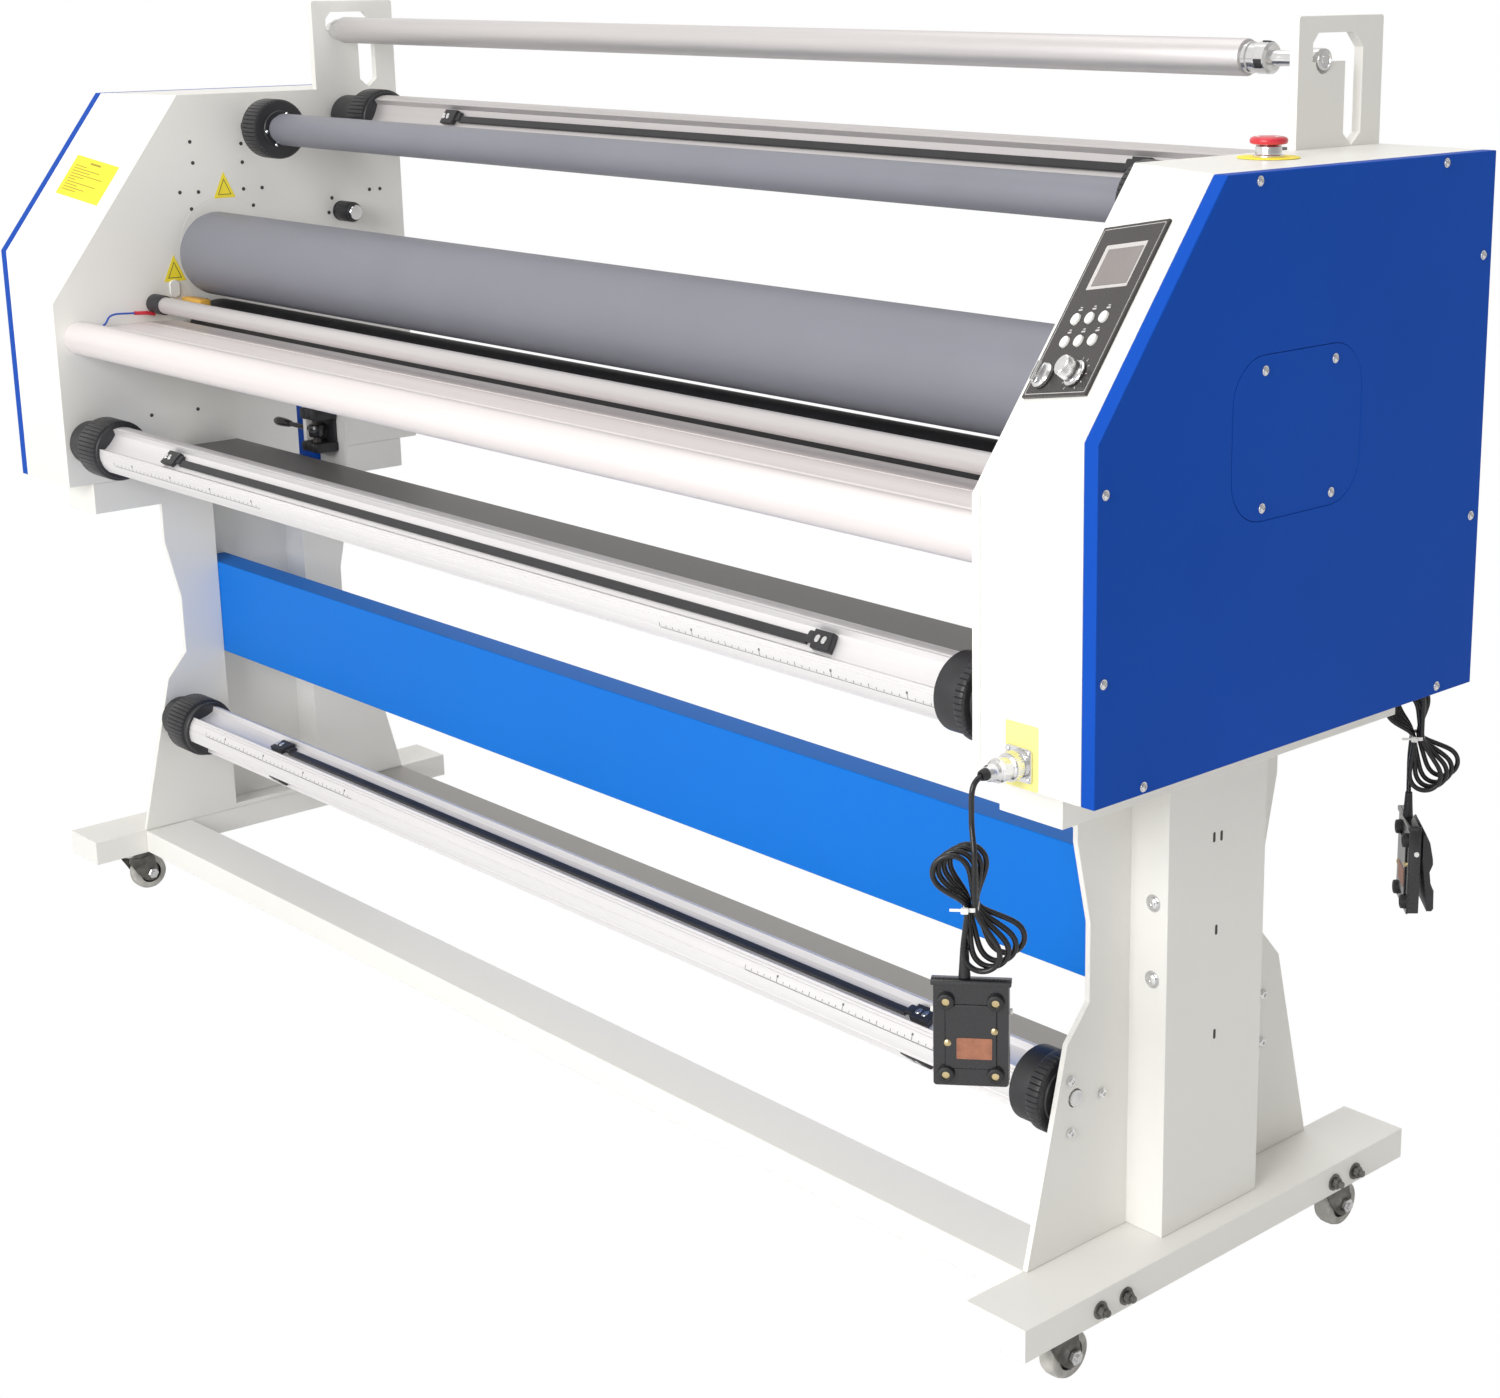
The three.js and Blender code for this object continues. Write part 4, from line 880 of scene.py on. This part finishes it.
# ---------------------------------------------------------------- casters
def add_caster(name):
    """A 50 mm twin-cheek caster: top plate with nuts, domed swivel, folded fork, wheel and axle nuts."""
    low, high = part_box(f"{name}_fork")
    x = round((low.x + high.x) / 2 / MM)
    y = PIVOT[f"{name}_fork"].y / MM
    at = shift(x, y, 0)
    Shape().prism(rounded(56, 56, 5), 62.3, 64.8, at, 0.5).piece(f"{name}_plate", DARK_STEEL)
    nuts = Shape()
    for sx, sy in product((-20, 20), repeat=2):
        nuts.prism(circle(5.4, 6), 58.2, 62.2, at @ shift(sx, sy), 0.6)
    nuts.piece(f"{name}_plate_nuts", STEEL)
    fork = Shape()
    fork.turn([(0, 50), (15, 50), (19, 51.5), (21.5, 54), (22, 57), (21.5, 60), (19, 61.9), (0, 61.9)], at)
    cheek = [(-17, 55), (-18, 46), (-7, 28), (4, 16.5), (9, 13.5), (15, 13), (20.5, 15.5), (23.5, 21), (23.5, 28),
             (21, 38), (19, 55)]
    for s in (-1, 1):
        middle = shift(s * 12.5 - 1.3, 0, 0)
        place = at @ middle @ Matrix(((0, 0, 1, 0), (1, 0, 0, 0), (0, 1, 0, 0), (0, 0, 0, 1)))
        fork.prism(cheek, 0, 2.6, place, 0.7)
    fork.block((25, 34, 3), at @ shift(0, 1, 52.5), 0.9)
    fork.piece(f"{name}_bracket", DARK_STEEL, f"{name}_fork", 30, replaces=f"{name}_fork")
    axle = Shape()
    for s in (-1, 1):
        spot = at @ along_x(s * 13.7, 14, 24.5, s)
        axle.prism(circle(7.6, 6), 0, 5, spot, 0.9)
        axle.rod(3.6, 4, 7, spot, 20)
    axle.piece(f"{name}_axle_nuts", STEEL, f"{name}_fork")
    spin = at @ along_x(0, 14, 24.5)
    wheel = Shape().ring([(15, -10), (20.5, -10), (22.8, -8.8), (24.2, -5), (24.5, 0), (24.2, 5), (22.8, 8.8),
                          (20.5, 10), (15, 10)], spin, 64)
    wheel.piece(f"{name}_tyre", TREAD, f"{name}_wheel", replaces=f"{name}_wheel")
    rim = Shape().ring([(4.2, -9), (8, -9.4), (9, -6), (14.5, -6), (15.2, -9), (15.2, 9), (14.5, 6), (9, 6), (8, 9.4),
                        (4.2, 9)], spin, 48)
    rim.piece(f"{name}_rim", PLASTIC, f"{name}_wheel")


# ---------------------------------------------------------------- controls
KNOB_SPOT = (19.3, -63.4)


def panel_place():
    """The panel's own frame: X across it, Y up the slope, Z out; its origin is on the cabinet's face."""
    out = -AXIS["panel_button_1"]
    up = out.cross(X).normalized()
    up = up if up.z > 0 else -up
    across = up.cross(out).normalized()
    knob = PIVOT["speed_knob"]
    spot = Vector((*KNOB_SPOT, 0)) * MM
    turn = Matrix((across, up, out)).transposed()
    return Matrix.Translation(knob - turn @ spot) @ turn.to_4x4()


BUTTON_COLUMNS = (-21.2, -0.7, 19.8)
BUTTON_ROWS = (-9, -31)


def add_controls():
    panel = panel_place()

    def spot(x, y, z=0.0):
        return panel @ shift(x, y, z)

    outer, inner = rounded(89, 162, 1.5, 3), rounded(87.8, 160.8, 1.2, 3)
    marks = Shape().loft([[(a, b, 3.0), (c, d, 3.0), (c, d, 3.12), (a, b, 3.12)]
                          for (a, b), (c, d) in zip(outer, inner)], spot(0, 0), closed=True)
    for x, y in product(BUTTON_COLUMNS, BUTTON_ROWS):
        marks.block((5.5, 1.6, 0.14), spot(x, y + 9.2, 3.07), 0.02)
        marks.block((3.4, 1.0, 0.14), spot(x, y + 11.6, 3.07), 0.02)
    for k in range(11):
        a = radians(240 - 30 * k)
        tick = spot(KNOB_SPOT[0] + 15 * cos(a), KNOB_SPOT[1] + 15 * sin(a), 3.07) @ Matrix.Rotation(a, 4, "Z")
        marks.block((2.4, 0.7, 0.14), tick, 0.02)
    marks.piece("panel_print", PALE_PRINT)
    wide, tall, screen = 60, 44.5, spot(0.5, 42.25)
    outer, inner = rounded(wide - 0.6, tall - 0.6, 0.6, 3), rounded(wide - 8, tall - 8, 0.6, 3)
    bezel = Shape().loft([[(a, b, 1.6), (a, b, 2.9), (c, d, 2.0), (c, d, 1.6)]
                          for (a, b), (c, d) in zip(outer, inner)], screen, closed=True)
    bezel.piece("display_bezel", PALE_PRINT)
    glass = Shape().prism(rounded(wide - 8.4, tall - 8.4, 0.6, 3), 1.6, 2.1, screen, 0.1)
    glass.piece("display_screen", SCREEN)
    cap = [(0, -3), (5.5, -3), (5.5, 4), (5.2, 4.8), (4.2, 5.2), (3.6, 4.9), (0, 4.8)]
    for i, (y, x) in enumerate(product(BUTTON_ROWS, BUTTON_COLUMNS), 1):
        button = f"panel_button_{i}"
        Shape().turn(cap, spot(x, y), 40).piece(f"key_cap_{i}", IVORY, button, replaces=button)
    seat = spot(*KNOB_SPOT)
    knob = Shape().turn([(0, -8), (3, -8), (3, 3.4), (11.4, 3.4), (12, 4), (12, 5.4), (11, 6.2), (0, 6.2)], seat, 60)
    knob.loft([[polar(r - 0.35 * (k % 2), pi * k / 48, z) for k in range(96)]
               for z, r in ((6, 9.4), (7, 9.8), (18, 9.2), (19.4, 8.6), (20, 7.8))], seat)
    knob.piece("speed_knob_cap", STEEL, "speed_knob", 25, replaces="speed_knob")
    key = Shape().turn([(0, -8), (3, -8), (3, 3.4), (11.4, 3.4), (11.8, 4), (11.8, 6.4), (10.4, 8.4), (6, 9), (0, 9)],
                       spot(-27.3, -64), 60)
    key.block((4.6, 19, 6), spot(-27.3, -64, 11.6), 1.6)
    key.block((1.4, 7, 0.6), spot(-27.3, -59, 14.7), 0.2)
    key.piece("selector_cap", STEEL, "selector_switch", 30, replaces="selector_switch")
    add_emergency_stop()


def add_emergency_stop():
    low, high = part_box("emergency_stop_collar")
    centre = (low + high) / 2
    at = Matrix.Translation(Vector((centre.x, centre.y, low.z - 0.3 * MM)))
    disc = Shape().ring([(11.8, 0.3), (27.6, 0.3), (28, 0.6), (28, 1.0), (27.4, 1.3), (11.8, 1.3)], at, 96)
    disc.piece("stop_label", YELLOW, replaces="emergency_stop_collar")
    body = Shape().ring([(8.2, 0.4), (14, 0.4), (14, 2.8), (13, 3.4), (11.8, 3.8), (11.8, 10), (11.2, 11), (8.2, 11)],
                        at, 64)
    body.piece("stop_body", STEEL)
    cap = Shape().turn([(0, 5.2), (7.4, 5.2), (7.4, 15.6), (12.8, 15.6), (12.8, 12), (13.4, 12), (16, 12.7), (16.8, 14),
                        (16.8, 16.2), (16, 17.6), (14, 18.6), (10, 19.2), (0, 19.4)], at, 72)
    cap.piece("stop_cap", RED, "emergency_stop_button", replaces="emergency_stop_button")
    arrows = Shape()
    for k in range(3):
        turn = at @ Matrix.Rotation(radians(120 * k), 4, "Z")
        arrows.block((2.2, 8, 0.3), turn @ shift(10.8, 0, 19.1), 0.1)
    arrows.piece("stop_marks", NYLON, "emergency_stop_button")


def add_tension_knob():
    centre = PIVOT["tension_knob"] / MM
    place = along_x(-INNER, centre.y, centre.z)
    Shape().rod(9, 0.4, 5.4, place, 40).piece("tension_knob_bush", TURNED, "tension_knob")
    knob = Shape().turn([(0, 5), (13, 5), (14, 7), (13, 9), (0, 9)], place, 60)
    ribbed(knob, place, 14, 9, 40, 28, 0.9)
    knob.turn([(0, 39), (12, 39), (12, 42), (11, 44), (0, 44)], place, 60)
    knob.piece("tension_knob_grip", PLASTIC, "tension_knob", 30, replaces="tension_knob")
    face = Shape().turn([(0, 43.8), (10, 43.8), (10, 45.6), (9.2, 46.4), (0, 46.6)], place, 48)
    face.piece("tension_knob_face", STEEL, "tension_knob")


def add_clamp_lever():
    place = Matrix.Translation(PIVOT["clamp_lever"])
    shape = Shape().turn([(0, -8), (10.2, -8), (11, -7), (11, 7), (10.2, 8), (0, 8)], place, 40)
    shape.tube([(-6, 0, 0), (-72, 0, 0)], 3.3, place, 20)
    grip = basis(PIVOT["clamp_lever"] + Vector((-70, 0, 0)) * MM, -X, Z)
    shape.turn([(0, -1), (4.4, 0), (5.4, 6), (6.2, 20), (6.1, 31), (4.6, 36), (0, 37.4)], grip, 40)
    shape.piece("clamp_handle", GLOSS_BLACK, "clamp_lever", 40, replaces="clamp_lever")
    turns = [(0, -28)]
    for k in range(32):
        turns += [(5.3, -28 + k * 1.9 + 0.2), (5.9, -28 + k * 1.9 + 1.0)]
    turns += [(5.2, 34), (0, 34)]
    Shape().turn(turns, place, 28).piece("clamp_screw", DARK_STEEL, "clamp_lever", 20)


def add_clamp_bracket():
    """The bracket behind the tie beam: a blue bar, white angle strips and a slotted black clamp block."""
    x, _, z = PIVOT["clamp_lever"] / MM
    block = [(x - 18, x + 18, 13.4, 17.6, z - 20, z + 20, 1)]
    for z0, z1 in ((z + 15.4, z + 30), (z - 28, z - 15.4)):
        block = [(x - 20, x - 6.5, -15, 17.6, z0, z1, 1.4), (x + 6.5, x + 20, -15, 17.6, z0, z1, 1.4),
                 (x - 19, x + 19, 4.6, 17.4, z0 + 0.4, z1 - 0.4, 1),
                 (x - 19, x + 19, -14.6, -8.6, z0 + 0.4, z1 - 0.4, 1)] + block
    plate = [(-699.4, -636, 18, 22, 585, 724, 0.8), (-698, -690, -6, 18, 632, 700, 0.8),
             (-752, -636, -21.4, 22, 585, 590, 0.8)]
    for name, material, boxes, node in (("blue_bar", BLUE, [(-752, -699.6, 16, 22, 585, 724, 0.8)], "clamp_bracket"),
                                        ("white_plate", WHITE, plate, None), ("black_block", PLASTIC, block, None)):
        shape = Shape()
        for x0, x1, y0, y1, z0, z1, bevel in boxes:
            middle = shift((x0 + x1) / 2, (y0 + y1) / 2, (z0 + z1) / 2)
            shape.block((x1 - x0, y1 - y0, z1 - z0), middle, bevel)
        shape.piece(f"clamp_{name}", material, replaces=node)


# ---------------------------------------------------------------- fasteners, labels and small trim
def pan_head(shape, place, radius, high, washer):
    if washer:
        shape.rod(washer, 0, 0.8, place, 28)
    shape.turn([(0, 0.7), (radius, 0.7), (radius * 0.96, high * 0.7), (radius * 0.72, high), (radius * 0.4, high + 0.3),
                (radius * 0.36, high - 0.8), (0, high - 0.8)], place, 28)


def hex_bolt(shape, place, radius, washer):
    shape.turn([(0, 0), (washer, 0), (washer, 1.4), (washer - 2, 1.8), (0, 1.8)], place, 32)
    shape.prism(circle(radius, 6), 1.7, 7.5, place, 0.9)
    shape.turn([(0, 7.3), (3.6, 7.3), (3.6, 10.5), (3, 11.2), (0, 11.2)], place, 24)


def add_fasteners():
    cover_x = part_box("cabinet_cover_right")[1].x / MM
    around = ((-77, 1091), (186, 1091), (250, 1004), (-261, 856), (-210, 601), (207, 602), (250, 760), (-261, 700))
    hatch = ((-63.5, 933), (32.4, 933), (-63.5, 815), (32.4, 815))
    for side, sign in (("right", 1), ("left", -1)):
        screws = Shape()
        spots = around + hatch if sign > 0 else around
        for y, z in spots:
            pan_head(screws, along_x(sign * cover_x, y, z, sign), 3.4, 2.6, 4.4)
        screws.piece(f"cover_screws_{side}", STEEL, smooth_angle=30)
        bolts = Shape()
        for y in (-182, -147, 166, 200):
            hex_bolt(bolts, along_x(sign * 925, y, 78, sign), 6, 8.6)
        bolts.piece(f"foot_bolts_{side}", DARK_STEEL, smooth_angle=30)
        pins = Shape()
        for y, z in ((-150, 270), (-107, 244), (-150, 218), (129, 271), (129, 220), (112, 245)):
            pan_head(pins, along_x(sign * 856, y, z, sign), 5, 3.6, 0)
        for z in (430, 355):
            pan_head(pins, facing(sign * 884, -70, z, -Y, X), 6, 3.6, 8.4)
            pan_head(pins, facing(sign * 884, 70, z, Y, X), 6, 3.6, 8.4)
        pins.piece(f"leg_screws_{side}", STEEL, smooth_angle=30)
        # The post's slots are flat dark shapes: painted shade inside the slots.
        slots = Shape()
        for y, z in ((-6, 482), (4.5, 481), (0, 389), (1, 283.5)):
            spot = along_x(sign * 901, y, z, sign)
            slots.prism(rounded(3.4, 10, 1.6), -0.2, 0.15, spot)
        slots.piece(f"post_slot_shade_{side}", HOLE_SHADE_AND_PRINT)


LEFT_FACE_HOLES = ((16, 1030), (16, 1005), (15, 969), (43, 969), (150, 948), (211, 956), (228, 956), (28, 946),
                   (144, 928), (-79, 970), (-52, 969), (-64, 947), (-64, 854), (-52, 823), (-146, 676), (-78, 676),
                   (-59, 1036), (-57, 1008))


def add_inner_trim():
    """What sits on the left side plate's inner face: holes, boss, bearing seat, pad, film guide and hook wire."""
    # The holes are flat dark discs on the plate: painted shade inside the holes.
    holes = Shape()
    for y, z in LEFT_FACE_HOLES:
        holes.prism(circle(2.6, 20), -0.2, 0.15, along_x(-INNER, y, z))
    for dy in (-6, 6):
        holes.prism(circle(2.6, 20), 3.0, 3.3, along_x(-INNER, 132 + dy, 620))
    holes.piece("left_plate_hole_shade", HOLE_SHADE_AND_PRINT)
    boss = Shape().turn([(0, 0), (19, 0), (19, 2.4), (18, 3.1), (0, 3.1)], along_x(-INNER, 132, 620), 56)
    boss.piece("left_plate_boss", WHITE)
    seat = Shape().ring([(62, -0.1), (63.2, -0.1), (62.9, 0.22), (62.3, 0.22)], along_x(-INNER, -20, 899), 96)
    seat.piece("left_bearing_seat", WHITE)
    oval = Shape().prism(rounded(14, 24, 6.8), 0, 2.2, along_x(-INNER, -98, 843), 0.6)
    oval.piece("left_plate_pad", NYLON)
    Shape().block((52, 16, 18), shift(-819, -84, 823), 2).piece("left_film_guide", AMBER)
    points = [(-846, -206, 803.6), (-843, -203, 806), (-840, -199, 816), (-840, -190, 818.5), (-840, -162, 817)]
    Shape().tube(smoothed(points, 1.5, 6), 1.3).piece("left_hook_wire", WIRE_BLUE)
    sleeve = Shape().tube([(-840, -163, 817), (-840, -145, 815.6), (-841, -134, 813)], 2.6, sides=16)
    sleeve.piece("left_hook_sleeve", RED)


def sticker(name, corners, lift):
    """A thin label on three or four corner points in millimetres, raised a little off its face."""
    points = [Vector(c) for c in corners]
    normal = (points[1] - points[0]).cross(points[-1] - points[0]).normalized()
    Shape().loft([[p + normal * height for p in points] for height in (0.05, lift)]).piece(name, YELLOW)


def add_labels():
    for k, (y, z) in enumerate(((-14, 959), (-96, 853))):
        corners = ((y - 16, z), (y + 16, z), (y, z + 35))
        sticker(f"triangle_label_{k + 1}", [(-INNER, *corner) for corner in corners], 0.3)
        rings = [[(-INNER + lift, y + (cy - y) * size, z + 11 + (cz - z - 11) * size)
                  for lift, size in ((0.3, 0.62), (0.3, 0.55), (0.5, 0.55), (0.5, 0.62))] for cy, cz in corners]
        Shape().loft(rings, None, closed=True).piece(f"triangle_border_{k + 1}", HOLE_SHADE_AND_PRINT)
    low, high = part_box("cabinet_shell_right")
    for end, x, y, normal, finish in (("front", 909, low.y, -Y, PALE_YELLOW), ("rear", 893, high.y, Y, YELLOW)):
        label = Shape().prism(rounded(38, 57, 2), 0, 0.25, facing(x, y / MM, 623, normal, X))
        label.piece(f"switch_label_{end}", finish)
    place = Matrix.Diagonal((-1, 1, 1, 1)) @ panel_place()
    sheet = ((49, -28, 0), (-33, -28, 0), (-33, 32, 0), (49, 32, 0))
    sticker("slope_label", [place @ (Vector(c) * MM) / MM for c in sheet], 0.4)
    lines = Shape()
    for k, long in enumerate((22, 50, 34, 60, 28, 14, 56, 24, 40, 26)):
        lines.block((long, 1.3, 0.2), place @ shift(43 - long / 2, 18 - 4.1 * k, 0.45), 0.05)
    lines.block((20, 3, 0.2), place @ shift(8, 25, 0.45), 0.05)
    lines.piece("slope_label_lines", LABEL_PRINT)


# ---------------------------------------------------------------- assembly
add_camera()
add_foot_switches()
add_stage()
dress_frame()
for shaft, shaft_spec in CLAMP_SHAFTS.items():
    add_clamp_shaft(shaft, shaft_spec)
add_supply_shaft()
add_pressure_rollers()
add_drive()
add_idler_and_tube()
add_table()
for caster in CASTERS:
    add_caster(caster)
add_controls()
add_tension_knob()
add_clamp_lever()
add_clamp_bracket()
add_fasteners()
add_inner_trim()
add_labels()
